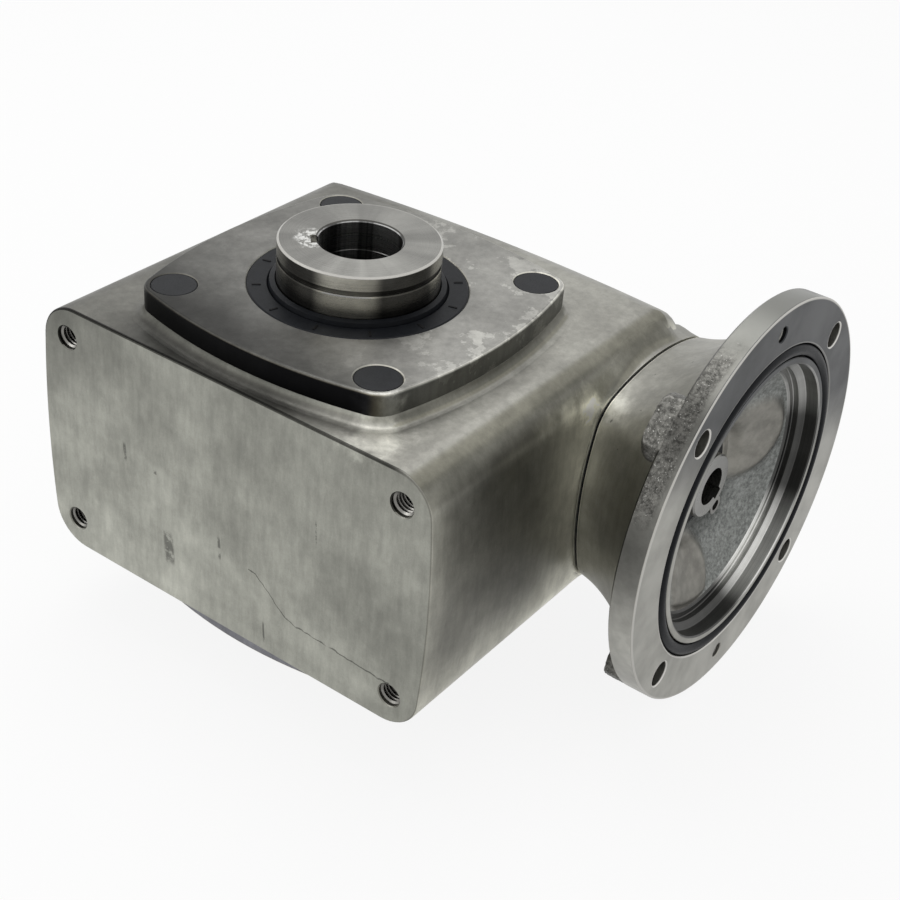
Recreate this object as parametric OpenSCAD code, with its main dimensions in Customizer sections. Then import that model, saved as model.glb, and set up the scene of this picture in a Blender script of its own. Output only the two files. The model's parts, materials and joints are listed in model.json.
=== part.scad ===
// Stainless right-angle worm speed reducer with a hollow output shaft and a C-face motor flange.
// Frame: +Z is the output axis, +X runs along the worm towards the motor flange,
// +Y points from the output axis to the worm, and the flat tapped base faces -Y.
// The origin lies on the output axis at half the height of the housing.

/* [Gearing] */
// Distance from the output axis to the worm axis
centre_distance = 66.675; // [65:0.025:72]
// Teeth on the worm wheel
wheel_teeth = 40; // [30:2:50]
// Threads on the worm
worm_starts = 2; // [1:1:3]
// Pitch radius of the worm
worm_pitch_r = 16.475; // [15:0.025:17.5]
// Length of the worm's thread
worm_thread_length = 60; // [40:1:70]
// Face width of the worm wheel
wheel_face = 26; // [20:1:30]
// Largest radius of the wheel's teeth, beside the throat
wheel_outer_r = 53.6; // [53:0.1:54.2]
// Play on each flank of the worm's thread
worm_flank_play = 0.16; // [0.1:0.01:0.3]
// Play on each flank of a wheel tooth
wheel_flank_play = 0.14; // [0.1:0.01:0.3]

/* [Housing] */
// Length of the housing along the worm
body_length = 189; // [180:1:230]
// Height of the housing along the output axis
body_height = 110; // [105:1:135]
// Distance from the output axis to the tapped base
base_offset = 73.6; // [70:0.1:90]
// Thickness of the wall behind the worm tunnel
tunnel_wall = 11.5; // [10:0.5:20]
// Radius of the edges that run back from the base
edge_r = 16; // [8:1:18]
// Radius of the top and bottom edges at the back
back_edge_r = 28; // [12:1:30]
// Reach of the rounding at the upright back edges, along the worm
end_edge_r = 13; // [10:1:24]
// How far each end of the housing bulges at half height
end_bulge = 1.6; // [0:0.1:3]
// How far the back of the housing bulges at half length
back_bulge = 4.5; // [0:0.1:6]
// Radius of the wheel chamber and of the openings under the covers
chamber_r = 57; // [56:0.5:60]
// Height of the raised seat under each cover
seat_rise = 3.5; // [2:0.5:5]
// Width of the cast fillet round a raised seat
seat_fillet = 3.5; // [2:0.5:5]

/* [Base holes] */
// Spacing of the base holes along the worm
base_hole_x = 160.5; // [140:0.5:165]
// Spacing of the base holes along the output axis
base_hole_z = 84.2; // [70:0.1:86]
// Radius of the base holes over the thread
base_hole_r = 4.76; // [3:0.01:6]
// Depth of the base holes
base_hole_depth = 19; // [12:1:22]

/* [Covers] */
// Half the width of a cover at the middle of its bowed sides
cover_half = 66; // [64:0.5:70]
// Distance of the cover screws from the axis along X and Y
cover_screw_offset = 48.5; // [48:0.5:52]
// Radius of a cover's corners
cover_corner_r = 11; // [10:0.5:14]
// Thickness of a cover's rim
cover_rim = 8.8; // [7:0.1:12]
// Radius of the counterbore over a cover screw
counterbore_r = 8.8; // [7.5:0.1:9.5]

/* [Output shaft] */
// Overall length of the hollow output shaft
shaft_length = 171.6; // [165:0.2:200]
// Radius of the hollow shaft's bore
output_bore_r = 15.875; // [12:0.005:17]
// Radius of the hollow shaft's ends
hub_r = 31; // [28:0.1:31.5]
// Width of the output keyway
output_key_width = 6.35; // [4:0.05:10]
// Distance from the axis to the floor of the output keyway
output_key_reach = 18.5; // [17:0.1:21]
// Direction of the output keyway about the axis
output_key_angle = 224; // [0:1:359]

/* [Motor flange] */
// Distance from the output axis to the flange face
flange_face = 143.9; // [135:0.1:180]
// Radius of the flange
flange_r = 84.14; // [82.55:0.01:90]
// Thickness of the flange's rim
flange_rim = 10.6; // [8:0.1:14]
// Radius of the pilot bore that centres the motor
pilot_r = 57.15; // [54:0.01:57.5]
// Depth of the pilot bore
pilot_depth = 5.6; // [4:0.1:8]
// Diameter of the motor bolt circle
motor_bolt_circle = 149.225; // [146:0.005:152]
// Radius of the motor bolt holes
motor_hole_r = 5.2; // [4:0.1:6]
// Half the width of the neck between the housing and the flange
neck_half = 46.7; // [45:0.1:48]

/* [Input shaft] */
// Radius of the bore for the motor's shaft
input_bore_r = 7.9375; // [6:0.0005:9]
// Depth of the bore for the motor's shaft
input_bore_depth = 50; // [40:1:55]
// Distance from the flange face back to the end of the input hub
hub_setback = 16.1; // [12:0.1:20]
// Radius of the input hub's end
input_hub_r = 13.5; // [12.5:0.1:14.5]
// Width of the input keyway
input_key_width = 4.76; // [3:0.01:6]

/* [Hidden] */
$fn = 96;

// Small values shared by many pieces
overshoot = 1;
edge_break = 0.6;
running_gap = 0.08;
slip_gap = 0.03;
ball_gap = 0.05;

// Gear geometry: a worm thread with 20 degree flanks and wheel teeth with involute flanks
flank_angle = 20;
wheel_pitch_r = centre_distance - worm_pitch_r;
gear_module = 2 * wheel_pitch_r / wheel_teeth;
axial_pitch = PI * gear_module;
lead = worm_starts * axial_pitch;
lead_angle = atan(lead / (2 * PI * worm_pitch_r));
worm_tip_r = worm_pitch_r + gear_module;
worm_root_r = worm_pitch_r - 1.2 * gear_module;
wheel_root_r = wheel_pitch_r - 1.25 * gear_module;
throat_r = centre_distance - wheel_pitch_r - gear_module;
wheel_base_r = wheel_pitch_r * cos(flank_angle);
worm_slices_per_turn = 20;

// Output bearings, light series, 65 mm bore
output_bearing_bore_r = 32.5;
output_bearing_r = 50;
output_bearing_width = 18;
output_ball_r = 5.5;
output_balls = 13;

// Worm bearings, light series, 30 mm bore
worm_bearing_bore_r = 15;
worm_bearing_r = 31;
worm_bearing_width = 16;
worm_ball_r = 4.75;
worm_balls = 9;

// Heights along the output axis, the same above and below the middle
half_height = body_height / 2;
seat_z = half_height + seat_rise;
cover_top_z = seat_z + cover_rim;
seal_depth = 10;
seal_z = cover_top_z - seal_depth;
seal_low_z = seal_z + 0.4;
bearing_top_z = seal_z - 1.8;
bearing_low_z = bearing_top_z - output_bearing_width;
spigot_low_z = bearing_low_z - 1;
spigot_r = chamber_r - slip_gap;
seal_r = hub_r + 11.1;
snap_thickness = 1.7;
snap_depth = 1.3;
journal_top_z = bearing_top_z + snap_thickness + 0.6;
shaft_end_z = shaft_length / 2;
hub_groove_z = shaft_end_z - 7.5;
hub_groove_width = 1.9;
bore_line_z = shaft_end_z - 12.5;
bore_line_width = 0.6;
wheel_seat_r = output_bearing_bore_r + 3.5;
wheel_flange_r = wheel_seat_r + 8.5;
wheel_flange_thickness = 6;
wheel_screw_circle_r = wheel_seat_r + 4.7;
wheel_screw_r = 2.5;
wheel_screw_head_r = 3.8;
wheel_screw_head_height = 5;
wheel_key_width = 10;
wheel_key_low_r = 31.5;
wheel_key_high_r = 39;
o_ring_r = 1.1;

// Cover screws under black plugs
cover_screw_r = 4;
cover_screw_head_r = 6.5;
cover_screw_head_height = 3.4;
plug_thickness = 2.6;
plug_inset = 0.2;
cover_screw_length = 21;
counterbore_z = cover_top_z - plug_inset - plug_thickness - cover_screw_head_height;

// Places along the worm axis
face_x = body_length / 2;
joint_x = face_x + 0.6;
gasket_thickness = 0.9;
gasket_inset = 0.9;
front_bearing_x = face_x - 20.5;
rear_bearing_x = -face_x + 26.5;
tunnel_shoulder_r = worm_bearing_r - 4;
hub_end_x = flange_face - hub_setback;
flange_rear_x = flange_face - flange_rim;
input_seal_width = 7;
input_seal_r = 21;
input_seal_x = hub_end_x - 14.3;
bell_floor_x = input_seal_x + input_seal_width + 0.6;
shaft_collar_r = worm_bearing_bore_r + 3.5;
shaft_collar_width = 6;
shaft_waist_r = worm_root_r + 0.6;
end_cap_thickness = 6;
end_cap_rim = 1.2;
end_ring_thickness = 2;
end_ring_depth = 1.4;
end_cap_x = rear_bearing_x - worm_bearing_width - end_cap_thickness;
input_key_angle = -45;
input_key_depth = 2.4;
hub_ear_angle = -58;
hub_ear_r = 3.9;
hub_ear_reach = 16.3;
hub_ear_hole_r = 2.3;

// Back of the housing, its sump and its oil holes
back_y = centre_distance + worm_bearing_r + tunnel_wall;
sump_wall = 11;
sump_corner_r = 10;
oil_hole_r = 6.6;
oil_hole_x = 45;
oil_plug_socket_r = 4;
oil_plug_setback = back_bulge * pow(oil_hole_x / face_x, 2) + 1.5;

// Flange details
neck_corner_offset = 26;
neck_corner_r = 16.6;
neck_sections = 5;
flange_groove_in_r = 60.1;
flange_groove_out_r = 65.7;
flange_groove_depth = 4.2;
flange_o_ring_r = 2.5;
jack_hole_r = 3.18;
boss_r = 13;
boss_length = 7.3;
spot_face_r = 10.5;
spot_face_length = 9;

// Outline of a rectangle with bowed or straight sides and round corners, centred on the axis.
// half is the reach of the sides' middles along X and Y, corner the place of a corner's centre.
function bowed_outline(half, corner, r, steps_side = 14, steps_corner = 8) =
    let (drop = half - corner,
        bow = drop - [r, r],
        across = [corner.y, corner.x],
        bowed = [for (k = [0, 1]) bow[k] > 0.001],
        big = [for (k = [0, 1])
            bowed[k] ? (pow(across[k], 2) + pow(drop[k], 2) - r * r) / (2 * bow[k]) : half[k]],
        spread = [for (k = [0, 1]) bowed[k] ? atan2(across[k], big[k] - drop[k]) : 0])
    [for (side = [0:3])
        let (k = side % 2,
            q = 90 * side,
            centre = [corner.x * sign(cos(q + 45)), corner.y * sign(sin(q + 45))])
        each concat(
            bowed[k] ? side_points(q, half[k], big[k], spread[k], steps_side) : [],
            [for (i = [0:steps_corner])
                let (a = q + spread[k] + (90 - spread[0] - spread[1]) * i / steps_corner)
                centre + r * [cos(a), sin(a)]])];
function side_points(q, half, big, spread, steps) =
    [for (i = [1:steps - 1])
        let (a = q - spread + 2 * spread * i / steps)
        big * [cos(a), sin(a)] - (big - half) * [cos(q), sin(q)]];

// Turns a piece made along +Z into one along the worm axis, starting at x.
module on_worm_axis(x = 0) {
    translate([x, centre_distance, 0]) rotate([0, 90, 0]) children();
}

// Puts a copy at each of the four corners of a square round the axis.
module at_corners(offset) {
    for (sx = [-1, 1], sy = [-1, 1]) translate([sx * offset, sy * offset, 0]) children();
}

// Copies pieces round the axis, count times, starting at angle first.
module around(count, reach, first = 0) {
    for (i = [0:count - 1]) rotate(first + 360 * i / count) translate([reach, 0, 0]) children();
}

// A slab with a square bowed outline between two heights.
module bowed_slab(half, corner, r, z0, z1) {
    translate([0, 0, z0]) linear_extrude(z1 - z0)
        polygon(bowed_outline([half, half], [corner, corner], r));
}

// A skirt that goes from a bowed outline wider by spread to the outline itself, for cast fillets.
module bowed_skirt(half, corner, r, spread, z0, z1) {
    wide = half + spread;
    translate([0, 0, z0]) linear_extrude(z1 - z0, scale = half / wide)
        polygon(bowed_outline([wide, wide], [corner, corner], r + spread));
}

module ring(r_in, r_out, height) {
    difference() {
        cylinder(h = height, r = r_out);
        translate([0, 0, -overshoot]) cylinder(h = height + 2 * overshoot, r = r_in);
    }
}

module rounded_rectangle(width, height, r) {
    difference() {
        square([width, height], center = true);
        for (sx = [-1, 1], sy = [-1, 1]) scale([sx, sy]) translate([width / 2 - r, height / 2 - r])
            difference() {
                square(r + overshoot);
                circle(r);
            }
    }
}

// Cast block of the housing: a bowed outline from the base back, cut by the pillow of its back.
module housing_block() {
    end_corner = [face_x - end_bulge - edge_r, half_height - edge_r];
    intersection() {
        translate([0, back_y, 0]) rotate([90, 0, 0]) linear_extrude(base_offset + back_y)
            polygon(bowed_outline([face_x, half_height], end_corner, edge_r, 12));
        back_pillow();
    }
}

// Bulging back with round edges, a little wider than the block and open towards the base.
module back_pillow(clear = 0.4, columns = 3) {
    reach_x = face_x + clear - end_edge_r;
    reach_z = half_height + clear - back_edge_r;
    hull() {
        for (i = [-columns:columns], sz = [-1, 1]) {
            bow = back_bulge * pow(i / columns, 2);
            translate([i / columns * reach_x, back_y - bow - back_edge_r, sz * reach_z])
                scale([end_edge_r / back_edge_r, 1, 1]) sphere(back_edge_r, $fn = 48);
        }
        translate([-face_x - 2 * clear, -base_offset - overshoot, -half_height - 2 * clear])
            cube([body_length + 4 * clear, overshoot / 2, body_height + 4 * clear]);
    }
}

// Raised seat under the upper cover, with a cast fillet round it.
module cover_seat() {
    bowed_slab(cover_half, cover_screw_offset, cover_corner_r, half_height - overshoot, seat_z);
    bowed_skirt(cover_half, cover_screw_offset, cover_corner_r, seat_fillet,
        half_height - 0.4, half_height + 0.3 * seat_rise);
    bowed_skirt(cover_half, cover_screw_offset, cover_corner_r, 0.3 * seat_fillet,
        half_height + 0.3 * seat_rise, seat_z - 0.2);
}

// Pad on the housing's end face that the neck of the adapter stands on, with a fillet round it.
module neck_pad() {
    ramp_x = face_x - 22;
    wide_x = face_x - 6;
    wide = 1.5;
    inset = 8;
    on_worm_axis(0) {
        bowed_slab(neck_half, neck_corner_offset, neck_corner_r, wide_x - overshoot, joint_x);
        bowed_skirt(neck_half + wide, neck_corner_offset, neck_corner_r + wide, -inset - wide, ramp_x, wide_x);
        bowed_skirt(neck_half, neck_corner_offset, neck_corner_r, wide, wide_x, joint_x - 0.2);
        intersection() {
            bowed_skirt(neck_half, neck_corner_offset, neck_corner_r, seat_fillet, face_x - 4, joint_x - 0.2);
            translate([-body_height, -body_height, 0])
                cube([2 * body_height, body_height + neck_corner_offset, 2 * face_x]);
        }
    }
}

module housing() {
    color([0.55, 0.54, 0.51])
    difference() {
        union() {
            housing_block();
            cover_seat();
            mirror([0, 0, 1]) cover_seat();
            neck_pad();
        }
        // Wheel chamber and the sump between it and the base
        translate([0, 0, -seat_z - overshoot]) cylinder(h = 2 * (seat_z + overshoot), r = chamber_r);
        translate([0, -base_offset + sump_wall, 0]) rotate([-90, 0, 0])
            linear_extrude(base_offset - sump_wall)
            rounded_rectangle(2 * (chamber_r + sump_corner_r), body_height - 2 * sump_wall, sump_corner_r);
        // Worm tunnel with a wider seat for each bearing
        on_worm_axis(-face_x - overshoot) cylinder(h = body_length + 2 * overshoot, r = tunnel_shoulder_r);
        on_worm_axis(front_bearing_x) cylinder(h = face_x, r = worm_bearing_r);
        on_worm_axis(-face_x - overshoot)
            cylinder(h = face_x + overshoot + rear_bearing_x, r = worm_bearing_r);
        on_worm_axis(end_cap_x - end_ring_thickness)
            cylinder(h = end_ring_thickness, r = worm_bearing_r + end_ring_depth);
        // Tapped holes in the base
        for (sx = [-1, 1], sz = [-1, 1])
            translate([sx * base_hole_x / 2, -base_offset - overshoot, sz * base_hole_z / 2])
            rotate([-90, 0, 0]) cylinder(h = base_hole_depth + overshoot, r = base_hole_r);
        // Tapped holes for the cover screws
        for (side = [0, 1]) mirror([0, 0, side]) at_corners(cover_screw_offset)
            translate([0, 0, counterbore_z - cover_screw_length - overshoot])
            cylinder(h = cover_screw_length + 2 * overshoot, r = cover_screw_r + slip_gap);
        // Oil holes through the back into the tunnel
        for (sx = [-1, 1]) translate([sx * oil_hole_x, centre_distance, 0])
            rotate([-90, 0, 0]) cylinder(h = back_y, r = oil_hole_r);
    }
}

// How much wider the neck is at x than at its joint, where it starts at from_x.
function neck_spread(x, from_x) =
    let (s = (x - from_x) / (flange_rear_x - from_x))
    5 * s + 18 * s * s;

// One stretch of the neck, whose outline widens from x0 to x1.
module neck_part(from_x, x0, x1) {
    thin = 0.01;
    low = neck_spread(x0, from_x);
    high = neck_spread(x1, from_x);
    hull() {
        bowed_slab(neck_half + low, neck_corner_offset, neck_corner_r + low, x0, x0 + thin);
        bowed_slab(neck_half + high, neck_corner_offset, neck_corner_r + high, x1 - thin, x1);
    }
}

// Motor adapter: a bowed neck that flares to a round flange with an open bell inside.
module adapter() {
    neck_x = joint_x + gasket_thickness;
    neck_step = (flange_rear_x - neck_x) / neck_sections;
    boss_x = flange_rear_x - boss_length;
    color([0.50, 0.50, 0.48])
    difference() {
        on_worm_axis(0) {
            for (i = [0:neck_sections - 1])
                neck_part(neck_x, neck_x + i * neck_step, neck_x + (i + 1) * neck_step);
            translate([0, 0, flange_rear_x]) cylinder(h = flange_rim - edge_break, r = flange_r);
            translate([0, 0, flange_face - edge_break])
                cylinder(h = edge_break, r1 = flange_r, r2 = flange_r - edge_break);
            // Cast bosses behind the bolt holes, trimmed to the rim
            intersection() {
                around(4, motor_bolt_circle / 2, 45) translate([0, 0, boss_x])
                    cylinder(h = boss_length + overshoot, r = boss_r);
                translate([0, 0, boss_x]) cylinder(h = boss_length + overshoot, r = flange_r - edge_break);
            }
            // Spigot that centres the neck in the tunnel and holds the front bearing
            translate([0, 0, front_bearing_x + worm_bearing_width])
                cylinder(h = neck_x - front_bearing_x - worm_bearing_width, r = worm_bearing_r - slip_gap);
        }
        on_worm_axis(0) {
            bell_inside();
            around(4, motor_bolt_circle / 2, 45) {
                translate([0, 0, boss_x - overshoot])
                    cylinder(h = boss_length + flange_rim + 2 * overshoot, r = motor_hole_r);
                translate([0, 0, boss_x - spot_face_length]) cylinder(h = spot_face_length, r = spot_face_r);
            }
            around(2, motor_bolt_circle / 2)
                translate([0, 0, flange_rear_x - overshoot])
                cylinder(h = flange_rim + 2 * overshoot, r = jack_hole_r);
            translate([0, 0, flange_face - flange_groove_depth])
                ring(flange_groove_in_r, flange_groove_out_r, flange_groove_depth + overshoot);
        }
    }
}

// Hollow of the bell: pilot bore, two machined steps, a dished floor and the bores for seal and shaft.
module bell_inside() {
    step_1_r = pilot_r - 2.6;
    step_2_r = pilot_r - 5.4;
    step_1_x = flange_face - pilot_depth - 2.4;
    step_2_x = step_1_x - 2.2;
    dish_r = step_2_r - 5;
    dish_x = step_2_x - 3.2;
    rotate_extrude() polygon([
        [0, front_bearing_x],
        [worm_bearing_r - 5, front_bearing_x],
        [worm_bearing_r - 5, joint_x - 1],
        [worm_bearing_bore_r + 1, joint_x - 1],
        [worm_bearing_bore_r + 1, input_seal_x - 1],
        [input_seal_r, input_seal_x - 1],
        [input_seal_r, bell_floor_x],
        [input_seal_r + 3, bell_floor_x],
        [dish_r, dish_x],
        [step_2_r, step_2_x],
        [step_1_r, step_2_x],
        [step_1_r, step_1_x],
        [pilot_r, flange_face - pilot_depth],
        [pilot_r, flange_face + overshoot],
        [0, flange_face + overshoot]
    ]);
}

module adapter_gasket() {
    color([0.08, 0.08, 0.08])
    on_worm_axis(0) difference() {
        bowed_slab(neck_half - gasket_inset, neck_corner_offset, neck_corner_r - gasket_inset,
            joint_x, joint_x + gasket_thickness);
        translate([0, 0, joint_x - overshoot])
            cylinder(h = gasket_thickness + 2 * overshoot, r = worm_bearing_r);
    }
}

// Rubber ring of round section, centred at height z.
module o_ring(r, z, section_r = o_ring_r) {
    translate([0, 0, z]) rotate_extrude() translate([r, 0]) circle(section_r);
}

module flange_o_ring() {
    groove_middle_r = (flange_groove_in_r + flange_groove_out_r) / 2;
    color([0.06, 0.06, 0.07])
    on_worm_axis(flange_face - flange_groove_depth)
        o_ring(groove_middle_r, flange_o_ring_r, flange_o_ring_r);
}

// Cover with a bowed rim, a spigot that fits the opening, a bearing pocket and a seal bore.
module cover() {
    groove_z = (spigot_low_z + seat_z) / 2 + 2;
    color([0.58, 0.57, 0.54])
    difference() {
        union() {
            bowed_slab(cover_half, cover_screw_offset, cover_corner_r, seat_z, cover_top_z - edge_break);
            bowed_skirt(cover_half - edge_break, cover_screw_offset, cover_corner_r - edge_break,
                edge_break, cover_top_z - edge_break, cover_top_z);
            translate([0, 0, spigot_low_z]) cylinder(h = seat_z - spigot_low_z + overshoot, r = spigot_r);
        }
        translate([0, 0, spigot_low_z - overshoot])
            cylinder(h = bearing_top_z - spigot_low_z + overshoot, r = output_bearing_r);
        translate([0, 0, bearing_top_z - overshoot])
            cylinder(h = seal_z - bearing_top_z + overshoot, r = output_bearing_r - 4);
        translate([0, 0, seal_z - overshoot]) cylinder(h = seal_depth + 2 * overshoot, r = seal_r);
        translate([0, 0, groove_z - o_ring_r]) ring(spigot_r - 2.2, spigot_r + overshoot, 2 * o_ring_r + 0.4);
        at_corners(cover_screw_offset) {
            translate([0, 0, seat_z - overshoot]) cylinder(h = cover_rim, r = cover_screw_r + 0.3);
            translate([0, 0, counterbore_z]) cylinder(h = cover_rim, r = counterbore_r);
        }
    }
}

module cover_o_ring() {
    color([0.08, 0.08, 0.08]) o_ring(spigot_r - 1.1, (spigot_low_z + seat_z) / 2 + 2.2);
}

// Four socket screws that hold a cover.
module cover_screws() {
    color([0.35, 0.35, 0.36])
    at_corners(cover_screw_offset) translate([0, 0, counterbore_z]) difference() {
        union() {
            cylinder(h = cover_screw_head_height, r = cover_screw_head_r);
            translate([0, 0, -cover_screw_length]) cylinder(h = cover_screw_length + overshoot, r = cover_screw_r);
        }
        translate([0, 0, cover_screw_head_height - 1.8]) cylinder(h = 3, r = 2.9, $fn = 6);
    }
}

// Black plugs that close the counterbores over the cover screws.
module screw_plugs() {
    color([0.05, 0.05, 0.06])
    at_corners(cover_screw_offset)
        translate([0, 0, counterbore_z + cover_screw_head_height]) {
            cylinder(h = plug_thickness - 0.4, r = counterbore_r - slip_gap);
            translate([0, 0, plug_thickness - 0.4])
                cylinder(h = 0.4, r1 = counterbore_r - slip_gap, r2 = counterbore_r - 0.5);
        }
}

// Oil seal with a raised dust lip round the hollow shaft.
module output_seal() {
    lip_r = hub_r + running_gap;
    color([0.06, 0.07, 0.08])
    rotate_extrude() polygon([
        [lip_r, seal_low_z + 3],
        [lip_r + 3, seal_low_z],
        [seal_r - slip_gap, seal_low_z],
        [seal_r - slip_gap, cover_top_z - 0.5],
        [seal_r - 0.7, cover_top_z - 0.1],
        [lip_r + 3.4, cover_top_z - 0.1],
        [lip_r + 2.8, cover_top_z - 0.9],
        [lip_r + 2.4, cover_top_z + 1.4],
        [lip_r + 0.4, cover_top_z + 1.9],
        [lip_r, cover_top_z + 1.2]
    ]);
}

// Hollow output shaft: keyed bore, hubs, bearing journals, and a seat and flange for the wheel.
module output_shaft() {
    flange_low_z = -wheel_face / 2 - wheel_flange_thickness;
    color([0.60, 0.59, 0.56])
    difference() {
        union() {
            for (side = [0, 1]) mirror([0, 0, side]) {
                cylinder(h = shaft_end_z - edge_break, r = hub_r);
                translate([0, 0, shaft_end_z - edge_break])
                    cylinder(h = edge_break, r1 = hub_r, r2 = hub_r - edge_break);
                cylinder(h = journal_top_z, r = output_bearing_bore_r);
                cylinder(h = bearing_low_z, r = wheel_seat_r);
            }
            translate([0, 0, flange_low_z]) cylinder(h = wheel_flange_thickness, r = wheel_flange_r);
        }
        translate([0, 0, -shaft_end_z - overshoot])
            cylinder(h = shaft_length + 2 * overshoot, r = output_bore_r);
        for (side = [0, 1]) mirror([0, 0, side]) {
            translate([0, 0, shaft_end_z - 0.8])
                cylinder(h = 1.6, r1 = output_bore_r - 0.01, r2 = output_bore_r + 1.6);
            translate([0, 0, bore_line_z]) cylinder(h = bore_line_width, r = output_bore_r + 0.3);
            translate([0, 0, hub_groove_z]) ring(hub_r - 0.9, hub_r + overshoot, hub_groove_width);
            translate([0, 0, bearing_top_z])
                ring(output_bearing_bore_r - snap_depth, output_bearing_bore_r + overshoot, snap_thickness);
        }
        rotate(output_key_angle) translate([0, -output_key_width / 2, -shaft_end_z - overshoot])
            cube([output_key_reach, output_key_width, shaft_length + 2 * overshoot]);
        translate([wheel_key_low_r, -wheel_key_width / 2, -wheel_face / 2])
            cube([wheel_key_high_r, wheel_key_width, wheel_face]);
        around(6, wheel_screw_circle_r, 30)
            translate([0, 0, flange_low_z - overshoot])
            cylinder(h = wheel_flange_thickness + 2 * overshoot, r = wheel_screw_r + slip_gap);
    }
}

// Half angle of a wheel tooth at radius r, in degrees, from the involute of the base circle.
function involute(r) = let (a = acos(min(1, wheel_base_r / r))) tan(a) * 180 / PI - a;
function tooth_half_angle(r) = 90 / wheel_teeth - wheel_flank_play / wheel_pitch_r * 180 / PI
    + involute(wheel_pitch_r) - involute(max(r, wheel_base_r));
function space_half_angle(r) = 180 / wheel_teeth - tooth_half_angle(r);

// Outline of the space between two teeth, centred on +X.
function space_points(steps = 6) =
    let (low = wheel_root_r, high = wheel_outer_r + 1.2,
        radii = [for (i = [0:steps]) low + (high - low) * i / steps],
        upper = [for (r = radii) r * [cos(space_half_angle(r)), sin(space_half_angle(r))]])
    concat(upper, [for (i = [steps:-1:0]) [upper[i].x, -upper[i].y]]);

// Bronze worm wheel: a throated blank from which the tilted tooth spaces are cut.
module worm_wheel() {
    half_face = wheel_face / 2;
    space_step = 360 / wheel_teeth;
    color([0.72, 0.52, 0.24])
    difference() {
        rotate_extrude() difference() {
            polygon([
                [wheel_seat_r + slip_gap, -half_face],
                [wheel_outer_r - 2, -half_face],
                [wheel_outer_r, -half_face + 2],
                [wheel_outer_r, half_face - 2],
                [wheel_outer_r - 2, half_face],
                [wheel_seat_r + slip_gap, half_face]
            ]);
            translate([centre_distance, 0]) circle(throat_r);
        }
        for (i = [0:wheel_teeth - 1]) rotate(space_step * (i + 0.5)) rotate([-lead_angle, 0, 0])
            translate([0, 0, -half_face - 2]) linear_extrude(wheel_face + 4) polygon(space_points());
        translate([wheel_key_low_r, -wheel_key_width / 2, -half_face - overshoot])
            cube([wheel_key_high_r - wheel_key_low_r, wheel_key_width, wheel_face + 2 * overshoot]);
        around(6, wheel_screw_circle_r, 30) {
            translate([0, 0, -half_face - overshoot])
                cylinder(h = wheel_face + 2 * overshoot, r = wheel_screw_r + 0.2);
            translate([0, 0, half_face - wheel_screw_head_height])
                cylinder(h = wheel_screw_head_height + overshoot, r = wheel_screw_head_r + 0.2);
        }
    }
}

module wheel_key() {
    key_length = wheel_face - 1;
    color([0.45, 0.45, 0.47])
    translate([wheel_key_low_r, -wheel_key_width / 2, -wheel_face / 2])
        cube([wheel_key_high_r - wheel_key_low_r, wheel_key_width, key_length]);
}

module wheel_screws() {
    shank = wheel_face - wheel_screw_head_height + wheel_flange_thickness;
    color([0.30, 0.30, 0.32])
    around(6, wheel_screw_circle_r, 30)
        translate([0, 0, wheel_face / 2 - wheel_screw_head_height]) difference() {
            union() {
                cylinder(h = wheel_screw_head_height - 0.2, r = wheel_screw_head_r);
                translate([0, 0, -shank]) cylinder(h = shank + overshoot, r = wheel_screw_r);
            }
            translate([0, 0, 2]) cylinder(h = wheel_screw_head_height, r = 2.2, $fn = 6);
        }
}

// Sleeve between the wheel and the upper bearing.
module wheel_spacer() {
    color([0.50, 0.50, 0.50])
    translate([0, 0, wheel_face / 2])
        ring(wheel_seat_r + slip_gap, wheel_seat_r + 4, bearing_low_z - wheel_face / 2);
}

// Snap ring in the shaft's groove, with the gap that lets it open.
module shaft_ring() {
    color([0.25, 0.25, 0.27])
    translate([0, 0, bearing_top_z]) difference() {
        ring(output_bearing_bore_r - snap_depth, output_bearing_bore_r + 2.6, snap_thickness);
        translate([0, -4, -overshoot]) cube([output_bearing_bore_r + 6, 8, snap_thickness + 2 * overshoot]);
    }
}

// Races, balls and cage of a deep-groove ball bearing that stands on z = 0.
module inner_race(bore, outer, width, ball) {
    middle = (bore + outer) / 2;
    color([0.62, 0.63, 0.65])
    rotate_extrude() difference() {
        translate([bore, 0]) square([middle - 0.55 * ball - bore, width]);
        translate([middle, width / 2]) circle(ball + ball_gap);
    }
}
module outer_race(bore, outer, width, ball) {
    middle = (bore + outer) / 2;
    color([0.62, 0.63, 0.65])
    rotate_extrude() difference() {
        translate([middle + 0.55 * ball, 0]) square([outer - middle - 0.55 * ball, width]);
        translate([middle, width / 2]) circle(ball + ball_gap);
    }
}
module bearing_balls(bore, outer, width, ball, count) {
    color([0.75, 0.76, 0.78])
    translate([0, 0, width / 2]) around(count, (bore + outer) / 2) sphere(ball, $fn = 48);
}
module bearing_cage(bore, outer, width, ball, count) {
    middle = (bore + outer) / 2;
    half_width = ball + 1.6;
    color([0.66, 0.50, 0.26])
    translate([0, 0, width / 2]) difference() {
        translate([0, 0, -half_width]) ring(middle - 0.3 * ball, middle + 0.3 * ball, 2 * half_width);
        around(count, middle - ball) rotate([0, 90, 0]) cylinder(h = 2 * ball, r = ball + 0.15);
    }
}

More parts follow.
